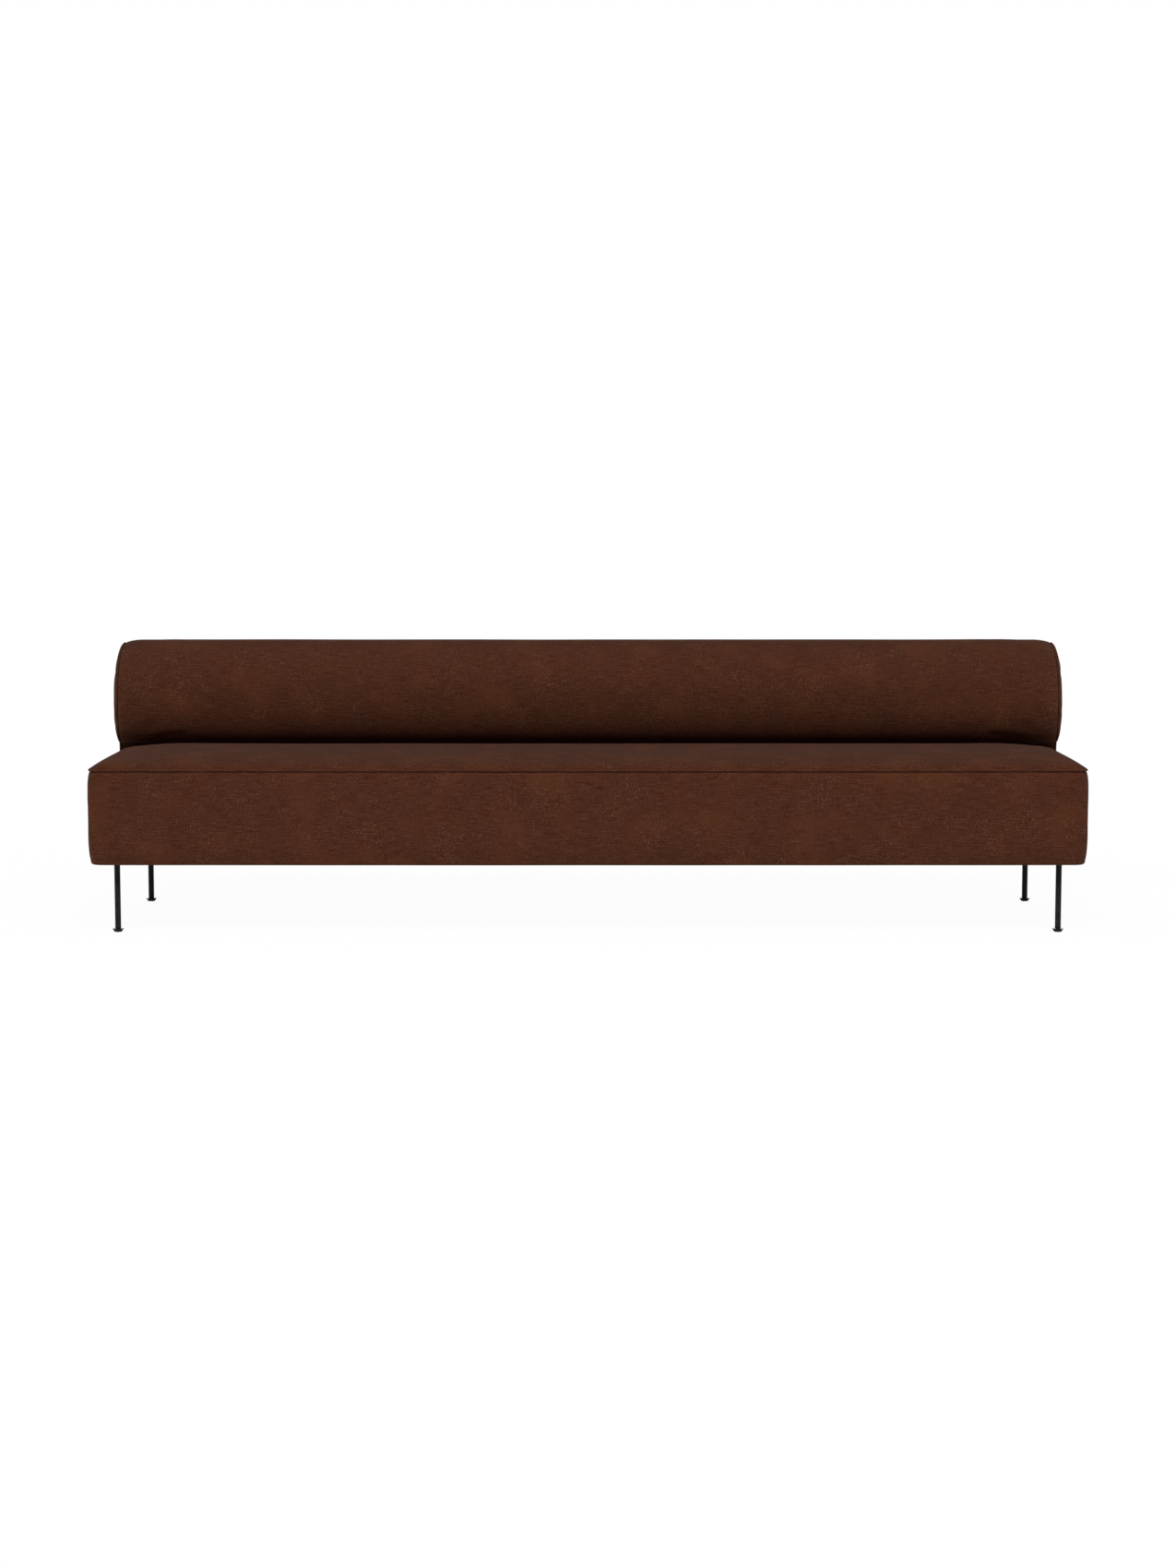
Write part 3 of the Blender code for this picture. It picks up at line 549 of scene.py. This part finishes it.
def roll_path(inset, draw):
    """The back's outline in the YZ plane: from its front foot round the roll to its rear panel's top."""
    shelf_end = STEM_FRONT - ROLL_SHELF
    nose = ROLL_FRONT + inset + draw
    shelf = ROLL_BOTTOM + inset
    top = BACK_TOP - inset - draw
    rear = HALF_DEPTH - inset - draw
    stem = STEM_FRONT + inset
    path = [(stem, BACK_BOTTOM + (shelf - BACK_BOTTOM) * i / STEM_STEPS) for i in range(STEM_STEPS + 1)]
    for i in range(LOWER_STEPS + 1):
        turn = math.pi / 2 * i / LOWER_STEPS
        y = shelf_end - (shelf_end - nose) * math.sin(turn)
        path.append((y, ROLL_NOSE_HEIGHT - (ROLL_NOSE_HEIGHT - shelf) * math.cos(turn)))
    power = 2 / ROLL_FULLNESS
    for i in range(1, UPPER_STEPS + 1):
        turn = math.pi / 2 * i / UPPER_STEPS
        y = ROLL_TOP_Y - (ROLL_TOP_Y - nose) * max(math.cos(turn), 0.0) ** power
        path.append((y, ROLL_NOSE_HEIGHT + (top - ROLL_NOSE_HEIGHT) * math.sin(turn) ** power))
    for i in range(1, REAR_STEPS + 1):
        turn = math.pi / 2 * i / REAR_STEPS
        y = ROLL_TOP_Y + (rear - ROLL_TOP_Y) * math.sin(turn)
        path.append((y, REAR_SHOULDER + (top - REAR_SHOULDER) * math.cos(turn)))
    return path


def draw_at(x):
    """How far the back's cover is drawn in near its end seams."""
    left = max(1.0 - (BACK_HALF - abs(x)) / END_DRAW_REACH, 0.0)
    return END_DRAW * left * left


def measured(path):
    """Distances along a path of points."""
    lengths = [0.0]
    for (y, z), (next_y, next_z) in zip(path, path[1:]):
        lengths.append(lengths[-1] + math.hypot(next_y - y, next_z - z))
    return lengths


def seam_columns():
    """Places along the back, with one more close to each end seam so that the cover turns in sharply."""
    inner = BACK_HALF - TUCK_WIDTH
    return [-BACK_HALF] + [place * inner for place in spaced(LONG_STEPS)] + [BACK_HALF]


def make_back_wrap():
    """The cover over the roll, from the front of the stem to the seam at the top of the rear panel."""
    columns = seam_columns()
    lengths = measured(roll_path(0.0, 0.0))
    paths = []
    for x in columns:
        tuck = TUCK if abs(x) == BACK_HALF else 0.0
        path = roll_path(tuck, draw_at(x))
        rear_y, rear_z = path[-1]
        path[-1] = (rear_y - TUCK, rear_z - SEAM_LAP)
        paths.append(path)
    points = [[(x, *path[i]) for x, path in zip(columns, paths)] for i in range(len(lengths))]
    places = [[(x, length) for x in columns] for length in lengths]
    centre = (0, (ROLL_FRONT + HALF_DEPTH) / 2, ROLL_NOSE_HEIGHT)
    piece = grid_piece("back_roll_cover", points, places, False, centre)
    return sew(piece, 0.9, "back_front_cover", "back_foam")


def make_back_rear():
    """The plain panel at the rear of the back, sewn in along its top and its ends."""
    columns = seam_columns()
    rows = spaced(REAR_ROWS)
    points = []
    places = []
    for row in rows:
        height = BACK_BOTTOM + (REAR_SHOULDER - BACK_BOTTOM) * (row + 1) / 2
        points.append([])
        places.append([(x, height) for x in columns])
        for x in columns:
            tuck = TUCK if abs(x) == BACK_HALF or row == 1 else 0.0
            points[-1].append((x, HALF_DEPTH - draw_at(x) - tuck, height))
    piece = grid_piece("back_rear_cloth", points, places, False, (0, 0, REAR_SHOULDER))
    return sew(piece, 0.5, "back_rear_cover")


def end_fill(height):
    """Share of an end panel's bulge at one height: full above the roll's nose, a little less below it."""
    below = (ROLL_NOSE_HEIGHT - height) / (ROLL_NOSE_HEIGHT - BACK_BOTTOM)
    return 1.0 - END_TAPER * max(below, 0.0)


def end_outline(inset):
    """An end panel's outline, drawn in by inset: round the roll, down the rear, forward along the base."""
    path = roll_path(inset, END_DRAW)
    front = path[0][0]
    rear, shoulder = path[-1]
    for i in range(1, END_SIDE_STEPS + 1):
        path.append((rear, shoulder + (BACK_BOTTOM - shoulder) * i / END_SIDE_STEPS))
    for i in range(1, END_SIDE_STEPS):
        path.append((rear + (front - rear) * i / END_SIDE_STEPS, BACK_BOTTOM))
    return path


def make_back_end(end, side):
    """A sewn end panel: its rim at the seam, then rings that rise like a pillow to a flat middle."""
    points = []
    places = []
    for i in range(END_RINGS + 1):
        share = (i / END_RINGS) ** 2
        inset = TUCK * (1 - min(i, 1)) + share * END_REACH
        path = end_outline(inset)
        rise = END_BULGE * pillow(share)
        points.append([(side * (BACK_HALF + rise * end_fill(z)), y, z) for y, z in path])
        places.append([(y, z) for y, z in path + path[:1]])
    piece = grid_piece(f"back_end_cover_{end}", points, places, True, (0, STEM_FRONT, ROLL_NOSE_HEIGHT))
    fill_middle(piece, len(points[0]))
    base = [vertex.index for vertex in piece.data.vertices if vertex.co.z < BACK_BOTTOM + TUCK_WIDTH]
    return sew(piece, 0.8, f"back_end_pad_{end}", held=base)


def fill_middle(piece, count):
    """Close the innermost ring of an end panel and lay the cloth map flat over it."""
    shape = bmesh.new()
    shape.from_mesh(piece.data)
    shape.verts.ensure_lookup_table()
    inner = shape.verts[len(shape.verts) - count:]
    edges = [edge for edge in shape.edges if edge.verts[0] in inner and edge.verts[1] in inner]
    filled = bmesh.ops.triangle_fill(shape, use_beauty=True, use_dissolve=False, edges=edges)
    inside = [item for item in filled["geom"] if isinstance(item, bmesh.types.BMEdge) and item not in edges]
    bmesh.ops.subdivide_edges(shape, edges=inside, cuts=MIDDLE_CUTS, use_grid_fill=True)
    bmesh.ops.recalc_face_normals(shape, faces=shape.faces[:])
    outward = sum(face.normal.x * face.calc_center_median().x * face.calc_area() for face in shape.faces)
    if outward < 0:
        bmesh.ops.reverse_faces(shape, faces=shape.faces[:])
    cloth_map = shape.loops.layers.uv["cloth"]
    for face in shape.faces:
        for loop in face.loops:
            loop[cloth_map].uv = (loop.vert.co.y, loop.vert.co.z)
        face.smooth = True
    shape.to_mesh(piece.data)
    shape.free()


def turned_piece(name, profile, place):
    """A body of revolution about an upright axis, with a flat face at each end of its profile."""
    shape = bmesh.new()
    rings = []
    for radius, z in profile:
        ring = []
        for i in range(ROUND_SIDES):
            turn = 2 * math.pi * i / ROUND_SIDES
            point = (place[0] + radius * math.cos(turn), place[1] + radius * math.sin(turn), z)
            ring.append(shape.verts.new(point))
        rings.append(ring)
    for lower, upper in zip(rings, rings[1:]):
        for i in range(ROUND_SIDES):
            j = (i + 1) % ROUND_SIDES
            shape.faces.new((lower[i], lower[j], upper[j], upper[i]))
    shape.faces.new(rings[0])
    shape.faces.new(rings[-1])
    bmesh.ops.recalc_face_normals(shape, faces=shape.faces[:])
    piece = mesh_piece(name, shape)
    piece.data.set_sharp_from_angle(angle=SHARP_ANGLE)
    return piece


def weld_plate(piece, middle):
    """Add a bevelled plate on top of a rod and open the faces where they meet, for one closed body."""
    shape = bmesh.new()
    shape.from_mesh(piece.data)
    plate = bmesh.ops.create_cube(shape, size=1.0)["verts"]
    bmesh.ops.scale(shape, vec=(PLATE_SIZE, PLATE_SIZE, PLATE_THICKNESS), verts=plate)
    bmesh.ops.translate(shape, vec=middle, verts=plate)
    edges = list({edge for vertex in plate for edge in vertex.link_edges})
    bmesh.ops.bevel(shape, geom=edges, offset=PLATE_EDGE, segments=2, affect="EDGES")
    touching = [face for face in shape.faces if abs(face.calc_center_median().z - PLATE_LOW) < WELD_NEAR]
    rims = [edge for face in touching for edge in face.edges]
    bmesh.ops.delete(shape, geom=touching, context="FACES_ONLY")
    bmesh.ops.triangle_fill(shape, use_beauty=True, use_dissolve=False, edges=rims)
    bmesh.ops.recalc_face_normals(shape, faces=shape.faces[:])
    shape.to_mesh(piece.data)
    shape.free()
    piece.data.shade_smooth()
    piece.data.set_sharp_from_angle(angle=SHARP_ANGLE)


def make_leg(name, side_x, side_y):
    """A rod with an eased lower end, welded to its plate under the frame."""
    profile = [(ROD_RADIUS - ROD_CHAMFER, ROD_BOTTOM), (ROD_RADIUS, ROD_BOTTOM + ROD_CHAMFER)]
    profile.append((ROD_RADIUS, PLATE_LOW))
    piece = turned_piece(f"leg_{name}_rod", profile, (side_x * LEG_X, side_y * LEG_Y))
    shift = PLATE_SIZE / 2 - PLATE_OUTWARD
    middle = PLATE_LOW + PLATE_THICKNESS / 2
    weld_plate(piece, (side_x * (LEG_X - shift), side_y * (LEG_Y - shift), middle))
    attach(piece, "sofa")
    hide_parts(f"leg_{name}")
    return piece


def make_dust_cloth():
    """The spun cloth pulled tight under the frame, sagging a little between the rails."""
    half_x = HALF_LENGTH - UNDER_FLANGE - GAP
    half_y = HALF_DEPTH - UNDER_FLANGE - GAP
    columns = [place * half_x for place in spaced(DUST_COLUMNS)]
    rows = [place * half_y for place in spaced(DUST_ROWS)]
    points = []
    for y in rows:
        points.append([])
        for x in columns:
            free = (1 - (x / half_x) ** 2) * (1 - (y / half_y) ** 2)
            ripple = DUST_RIPPLE * noise.noise(Vector((x * DUST_RIPPLES_LONG, y * DUST_RIPPLES_DEEP, 0)))
            points[-1].append((x, y, DUST_HEIGHT - (DUST_SAG + ripple) * free))
    places = [[(x, y) for x in columns] for y in rows]
    piece = grid_piece("dust_cloth_sheet", points, places, False, (0, 0, 1))
    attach(piece, "sofa")
    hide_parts("dust_cover")
    return piece


def make_foot(name, place):
    """A levelling foot with eased rim edges, on its threaded stud."""
    rim_low = FOOT_HEIGHT - FOOT_RIM_THICKNESS
    profile = [(FOOT_SOLE_RADIUS - FOOT_ROUND, 0.0), (FOOT_SOLE_RADIUS, FOOT_ROUND)]
    profile += [(FOOT_RIM_RADIUS - FOOT_ROUND / 2, rim_low), (FOOT_RIM_RADIUS, rim_low + FOOT_ROUND)]
    profile += [(FOOT_RIM_RADIUS, FOOT_HEIGHT - FOOT_ROUND), (FOOT_RIM_RADIUS - FOOT_ROUND, FOOT_HEIGHT)]
    profile.append((STUD_RADIUS, FOOT_HEIGHT))
    turns = int((STUD_TOP - FOOT_HEIGHT) / THREAD_PITCH)
    for i in range(1, turns):
        z = FOOT_HEIGHT + i * THREAD_PITCH
        profile += [(STUD_RADIUS, z - THREAD_PITCH / 2), (STUD_RADIUS - THREAD_DEPTH, z)]
    profile.append((STUD_RADIUS - THREAD_DEPTH, STUD_TOP))
    piece = turned_piece(f"foot_{name}_glide", profile, place)
    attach(piece, f"foot_{name}")
    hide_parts(f"levelling_foot_{name}")
    return piece


# Material nodes


def new_material(name):
    """A material with its node tree and its shader."""
    material = bpy.data.materials.new(name)
    material.use_nodes = True
    return material, material.node_tree, material.node_tree.nodes["Principled BSDF"]


def add_node(tree, kind, inputs=None, **settings):
    """A node with its own settings and with constant values on its named inputs."""
    node = tree.nodes.new(kind)
    for key, value in settings.items():
        setattr(node, key, value)
    for key, value in (inputs or {}).items():
        node.inputs[key].default_value = value
    return node


def stretched(tree, scale, source="UV", turn=0.0):
    """Texture coordinates stretched by a scale along each axis."""
    where = add_node(tree, "ShaderNodeTexCoord")
    mapping = add_node(tree, "ShaderNodeMapping", {"Scale": scale, "Rotation": (0.0, 0.0, turn)})
    tree.links.new(where.outputs[source], mapping.inputs["Vector"])
    return mapping.outputs["Vector"]


def noise_at(tree, vector, scale, detail):
    """Noise about the middle value 0.5."""
    node = add_node(tree, "ShaderNodeTexNoise", {"Scale": scale, "Detail": detail})
    tree.links.new(vector, node.inputs["Vector"])
    return node.outputs["Fac"]


def remap(tree, value, low, high, new_low, new_high):
    """Take a value from one range to another, held at both ends."""
    inputs = {"From Min": low, "From Max": high, "To Min": new_low, "To Max": new_high}
    node = add_node(tree, "ShaderNodeMapRange", inputs)
    tree.links.new(value, node.inputs["Value"])
    return node.outputs["Result"]


def combine(tree, operation, first, second):
    """A math node on two values, each a socket or a number."""
    node = add_node(tree, "ShaderNodeMath", operation=operation)
    for socket, value in zip(node.inputs, (first, second)):
        if isinstance(value, float):
            socket.default_value = value
        else:
            tree.links.new(value, socket)
    return node.outputs["Value"]


def mix_colour(tree, factor, first, second):
    """A colour mix; each colour is a socket or three numbers."""
    node = add_node(tree, "ShaderNodeMix", data_type="RGBA")
    tree.links.new(factor, node.inputs["Factor"])
    for key, value in (("A", first), ("B", second)):
        socket = [item for item in node.inputs if item.name == key and item.type == "RGBA"][0]
        if isinstance(value, tuple):
            socket.default_value = (*value, 1.0)
        else:
            tree.links.new(value, socket)
    return [item for item in node.outputs if item.type == "RGBA"][0]


def bump(tree, shader, height, strength, distance):
    """Let a height stand out of the surface."""
    node = add_node(tree, "ShaderNodeBump", {"Strength": strength, "Distance": distance})
    tree.links.new(height, node.inputs["Height"])
    tree.links.new(node.outputs["Normal"], shader.inputs["Normal"])


def woven(tree, pitch, source="UV", turn=0.0):
    """Height of a plain weave: two crossing rows of threads of one pitch."""
    threads = []
    for direction in ("X", "Y"):
        scale = 2 * math.pi / (WAVE_RATE * pitch)
        node = add_node(tree, "ShaderNodeTexWave", {"Scale": scale}, bands_direction=direction)
        tree.links.new(stretched(tree, EVEN_SCALE, source, turn), node.inputs["Vector"])
        threads.append(node.outputs["Fac"])
    return combine(tree, "MULTIPLY", *threads)


def specks(tree, turn):
    """Masks of small dots at random places: pale knots on some cells, dark gaps on fewer."""
    cells = add_node(tree, "ShaderNodeTexVoronoi", {"Scale": 1.0})
    tree.links.new(stretched(tree, SPECK_CELLS, turn=turn), cells.inputs["Vector"])
    chance = add_node(tree, "ShaderNodeSeparateColor")
    tree.links.new(cells.outputs["Color"], chance.inputs["Color"])
    dots = remap(tree, cells.outputs["Distance"], 0.25, 0.5, 1.0, 0.0)
    pale = combine(tree, "MULTIPLY", dots, remap(tree, chance.outputs["Red"], 0.72, 0.90, 0.0, 1.0))
    dark = combine(tree, "MULTIPLY", dots, remap(tree, chance.outputs["Green"], 0.85, 1.0, 0.0, 1.0))
    return pale, dark


def cover_cloth(name, turn=0.0):
    """Dark red-brown upholstery cloth: uneven threads both ways, faint shades, pale and dark specks."""
    material, tree, shader = new_material(name)
    plain = stretched(tree, EVEN_SCALE)
    long_slubs = noise_at(tree, stretched(tree, LONG_SLUBS, turn=turn), 1.0, 1.0)
    cross_slubs = noise_at(tree, stretched(tree, CROSS_SLUBS, turn=turn), 1.0, 1.0)
    grain = noise_at(tree, stretched(tree, FINE_GRAIN, turn=turn), 1.0, 1.0)
    shade = noise_at(tree, plain, 9.0, 4.0)
    patches = remap(tree, noise_at(tree, plain, 11.0, 3.0), 0.46, 0.64, 0.2, 1.0)
    pale, dark = specks(tree, turn)
    colour = mix_colour(tree, remap(tree, grain, 0.36, 0.64, 0.0, 1.0), DARK_THREAD, LIGHT_THREAD)
    threads = (
        (remap(tree, long_slubs, 0.57, 0.66, 0.0, 0.9), LIGHT_THREAD),
        (remap(tree, long_slubs, 0.34, 0.43, 0.7, 0.0), DARK_THREAD),
        (remap(tree, cross_slubs, 0.58, 0.68, 0.0, 0.45), LIGHT_THREAD),
        (remap(tree, cross_slubs, 0.32, 0.42, 0.45, 0.0), DARK_THREAD),
        (remap(tree, shade, 0.34, 0.46, 0.30, 0.0), DEEP_THREAD),
        (remap(tree, shade, 0.52, 0.66, 0.0, 0.60), WARM_THREAD),
    )
    for amount, thread in threads:
        colour = mix_colour(tree, amount, colour, thread)
    colour = mix_colour(tree, combine(tree, "MULTIPLY", pale, patches), colour, PALE_SPECK)
    colour = mix_colour(tree, dark, colour, DARK_SPECK)
    tree.links.new(colour, shader.inputs["Base Color"])
    rough = remap(tree, long_slubs, 0.3, 0.7, 0.95, 0.82)
    tree.links.new(rough, shader.inputs["Roughness"])
    shader.inputs["Specular IOR Level"].default_value = 0.0
    shader.inputs["Sheen Weight"].default_value = 0.07
    shader.inputs["Sheen Roughness"].default_value = 0.45
    shader.inputs["Sheen Tint"].default_value = (0.92, 0.94, 0.94, 1.0)
    height = combine(tree, "ADD", woven(tree, COVER_PITCH, turn=turn), long_slubs)
    bump(tree, shader, combine(tree, "ADD", height, cross_slubs), 0.35, 0.0006)
    return material


def powder_coat():
    """Satin black powder coating with a fine grain and a little wear."""
    material, tree, shader = new_material("black_powder_coat")
    grain = noise_at(tree, stretched(tree, EVEN_SCALE, "Object"), 1400.0, 2.0)
    wear = noise_at(tree, stretched(tree, EVEN_SCALE, "Object"), 60.0, 4.0)
    colour = mix_colour(tree, remap(tree, wear, 0.4, 0.7, 0.0, 1.0), COATING_BLACK, COATING_WORN)
    tree.links.new(colour, shader.inputs["Base Color"])
    tree.links.new(remap(tree, wear, 0.3, 0.7, 0.30, 0.42), shader.inputs["Roughness"])
    shader.inputs["Specular IOR Level"].default_value = 0.06
    bump(tree, shader, grain, 0.05, 0.0001)
    return material


def timber(name, light, dark, along):
    """Sawn timber with its grain running along one axis."""
    material, tree, shader = new_material(name)
    scale = [GRAIN_ACROSS] * 3
    scale[along] = GRAIN_ALONG
    grain = noise_at(tree, stretched(tree, scale, "Object"), 1.0, 4.0)
    pores = noise_at(tree, stretched(tree, [value * PORES_FINER for value in scale], "Object"), 1.0, 2.0)
    colour = mix_colour(tree, remap(tree, grain, 0.3, 0.7, 0.0, 1.0), light, dark)
    colour = mix_colour(tree, remap(tree, pores, 0.55, 0.75, 0.0, 0.5), colour, dark)
    tree.links.new(colour, shader.inputs["Base Color"])
    tree.links.new(remap(tree, pores, 0.3, 0.7, 0.55, 0.75), shader.inputs["Roughness"])
    bump(tree, shader, combine(tree, "ADD", grain, pores), 0.2, 0.0005)
    return material


def plywood():
    """Plywood: veneers of two tones across the board's thickness, with a grain along its length."""
    material, tree, shader = new_material("birch_plywood")
    layers = noise_at(tree, stretched(tree, (3.0, 3.0, 420.0), "Object"), 1.0, 1.0)
    grain = noise_at(tree, stretched(tree, (5.0, 120.0, 60.0), "Object"), 1.0, 4.0)
    colour = mix_colour(tree, remap(tree, grain, 0.3, 0.7, 0.0, 1.0), VENEER_LIGHT, VENEER_DARK)
    colour = mix_colour(tree, remap(tree, layers, 0.45, 0.55, 0.0, 0.4), colour, VENEER_CROSS)
    tree.links.new(colour, shader.inputs["Base Color"])
    tree.links.new(remap(tree, grain, 0.3, 0.7, 0.55, 0.75), shader.inputs["Roughness"])
    bump(tree, shader, combine(tree, "ADD", grain, layers), 0.2, 0.0004)
    return material


def webbing_cloth():
    """Black elastic webbing with a ribbed weave and a little pale fuzz."""
    material, tree, shader = new_material("elastic_webbing")
    ribs = woven(tree, 0.0024, "Object")
    fuzz = noise_at(tree, stretched(tree, EVEN_SCALE, "Object"), 300.0, 2.0)
    colour = mix_colour(tree, ribs, WEBBING_BLACK, WEBBING_GREY)
    colour = mix_colour(tree, remap(tree, fuzz, 0.62, 0.72, 0.0, 0.5), colour, WEBBING_FUZZ)
    tree.links.new(colour, shader.inputs["Base Color"])
    tree.links.new(remap(tree, fuzz, 0.3, 0.7, 0.75, 0.95), shader.inputs["Roughness"])
    bump(tree, shader, ribs, 0.4, 0.0006)
    return material


def dust_cloth():
    """Black spun cloth with a grid of bonded points and a few stray fibres."""
    material, tree, shader = new_material("spun_dust_cloth")
    points = woven(tree, 0.0032, "UV", BIAS_TURN)
    fibres = noise_at(tree, stretched(tree, (60.0, 500.0, 1.0)), 1.0, 3.0)
    colour = mix_colour(tree, remap(tree, fibres, 0.4, 0.7, 0.0, 1.0), SPUN_BLACK, SPUN_GREY)
    tree.links.new(colour, shader.inputs["Base Color"])
    tree.links.new(remap(tree, points, 0.0, 1.0, 0.95, 0.7), shader.inputs["Roughness"])
    bump(tree, shader, combine(tree, "ADD", points, fibres), 0.3, 0.0004)
    return material


def zinc():
    """Zinc-plated steel with a cloudy finish."""
    material, tree, shader = new_material("zinc_plating")
    clouds = noise_at(tree, stretched(tree, EVEN_SCALE, "Object"), 240.0, 3.0)
    colour = mix_colour(tree, remap(tree, clouds, 0.35, 0.65, 0.0, 1.0), ZINC_DULL, ZINC_BRIGHT)
    tree.links.new(colour, shader.inputs["Base Color"])
    tree.links.new(remap(tree, clouds, 0.3, 0.7, 0.28, 0.42), shader.inputs["Roughness"])
    shader.inputs["Metallic"].default_value = 1.0
    bump(tree, shader, clouds, 0.1, 0.0002)
    return material


def paint(piece, material):
    """Give a piece one material all over."""
    piece.data.materials.clear()
    piece.data.materials.append(material)


def paint_frame(nodes):
    """Materials of the CAD nodes that stay: timber, plywood, webbing and bolts."""
    beech_long = timber("beech_along_length", BEECH_LIGHT, BEECH_DARK, 0)
    beech_cross = timber("beech_across", BEECH_LIGHT, BEECH_DARK, 1)
    hardboard = timber("hardboard", HARDBOARD_LIGHT, HARDBOARD_DARK, 0)
    ply = plywood()
    webbing = webbing_cloth()
    plating = zinc()
    for name, node in nodes.items():
        if name.startswith("cross_rail"):
            paint(node, beech_cross)
        elif name.startswith("corner_block") or name in LONG_TIMBER:
            paint(node, beech_long)
        elif name == "back_nose_board":
            paint(node, hardboard)
        elif "webbing" in name:
            paint(node, webbing)
        elif name.startswith("back_bolt"):
            paint(node, plating)
        else:
            paint(node, ply)


# Studio


def make_camera():
    """The camera at the photograph's place, level across and tipped down a little."""
    data = bpy.data.cameras.new("photo_camera")
    data.lens = FOCAL_PIXELS / FRAME_HEIGHT * SENSOR
    data.sensor_width = SENSOR
    camera = bpy.data.objects.new("photo_camera", data)
    camera.location = CAMERA_PLACE
    camera.rotation_euler = (math.radians(90 - CAMERA_PITCH), 0, 0)
    bpy.context.scene.collection.objects.link(camera)
    bpy.context.scene.camera = camera


def seen_directly(tree):
    """1 for rays that show the background itself: from the camera, in gloss and through glass."""
    path = add_node(tree, "ShaderNodeLightPath")
    seen = combine(tree, "MAXIMUM", path.outputs["Is Camera Ray"], path.outputs["Is Glossy Ray"])
    return combine(tree, "MAXIMUM", seen, path.outputs["Is Transmission Ray"])


def make_world():
    """White where it is seen, a weak even light elsewhere."""
    world = bpy.data.worlds.new("studio")
    world.use_nodes = True
    tree = world.node_tree
    background = tree.nodes["Background"]
    background.inputs["Color"].default_value = (1, 1, 1, 1)
    tree.links.new(remap(tree, seen_directly(tree), 0.0, 1.0, AMBIENT, 1.0), background.inputs["Strength"])
    bpy.context.scene.world = world


def make_floor():
    """A pale floor that is white where it is seen, keeps a soft shadow near the sofa and has no horizon.

    It throws light back only from near the sofa, as a short paper sweep does.
    """
    shape = bmesh.new()
    bmesh.ops.create_grid(shape, x_segments=1, y_segments=1, size=FLOOR_SIZE)
    floor = mesh_piece("studio_floor", shape)
    material, tree, shader = new_material("studio_floor")
    seen = seen_directly(tree)
    place = add_node(tree, "ShaderNodeNewGeometry").outputs["Position"]
    axes = add_node(tree, "ShaderNodeSeparateXYZ")
    tree.links.new(place, axes.inputs["Vector"])
    bounce = remap(tree, axes.outputs["Y"], BOUNCE_FAR, BOUNCE_NEAR, FLOOR_DIM, FLOOR_BOUNCE)
    tree.links.new(combine(tree, "MAXIMUM", seen, bounce), shader.inputs["Base Color"])
    shader.inputs["Roughness"].default_value = 0.9
    shader.inputs["Specular IOR Level"].default_value = 0.0
    glow = add_node(tree, "ShaderNodeEmission", {"Color": (1, 1, 1, 1), "Strength": 1.0})
    distance = add_node(tree, "ShaderNodeVectorMath", operation="LENGTH")
    tree.links.new(place, distance.inputs[0])
    near = remap(tree, distance.outputs["Value"], FLOOR_NEAR, FLOOR_FAR, FLOOR_GLOW, 1.0)
    mix = add_node(tree, "ShaderNodeMixShader")
    tree.links.new(combine(tree, "MULTIPLY", seen, near), mix.inputs["Fac"])
    tree.links.new(shader.outputs["BSDF"], mix.inputs[1])
    tree.links.new(glow.outputs["Emission"], mix.inputs[2])
    tree.links.new(mix.outputs["Shader"], tree.nodes["Material Output"].inputs["Surface"])
    paint(floor, material)


def make_light(name, place, target, size, power, spread):
    """A rectangular lamp aimed at a target; a small spread in degrees makes it a beam."""
    data = bpy.data.lights.new(name, "AREA")
    data.shape = "RECTANGLE"
    data.size, data.size_y = size
    data.energy = power
    data.spread = math.radians(spread)
    light = bpy.data.objects.new(name, data)
    light.location = place
    light.rotation_euler = (Vector(target) - Vector(place)).to_track_quat("-Z", "Y").to_euler()
    bpy.context.scene.collection.objects.link(light)


def make_lights():
    """A long soft box high in front, weaker ones behind and at both ends, a beam on the floor in front."""
    for name, settings in LAMPS.items():
        make_light(name, *settings)


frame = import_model()
bpy.context.scene.view_settings.view_transform = "Standard"
make_camera()
make_world()
make_floor()
make_lights()
paint_frame(frame["nodes"])
cloth = cover_cloth("upholstery_cloth")
bias_cloth = cover_cloth("piping_cloth", BIAS_TURN)
covers = [make_seat_top(), make_seat_border(), make_back_wrap(), make_back_rear()]
covers += [make_back_end("left", -1), make_back_end("right", 1)]
for cover in covers:
    paint(cover, cloth)
paint(make_piping(), bias_cloth)
paint(make_dust_cloth(), dust_cloth())
coating = powder_coat()
for corner, (side_x, side_y) in CORNERS.items():
    paint(make_leg(corner, side_x, side_y), coating)
    paint(make_foot(corner, (side_x * LEG_X, side_y * LEG_Y)), coating)
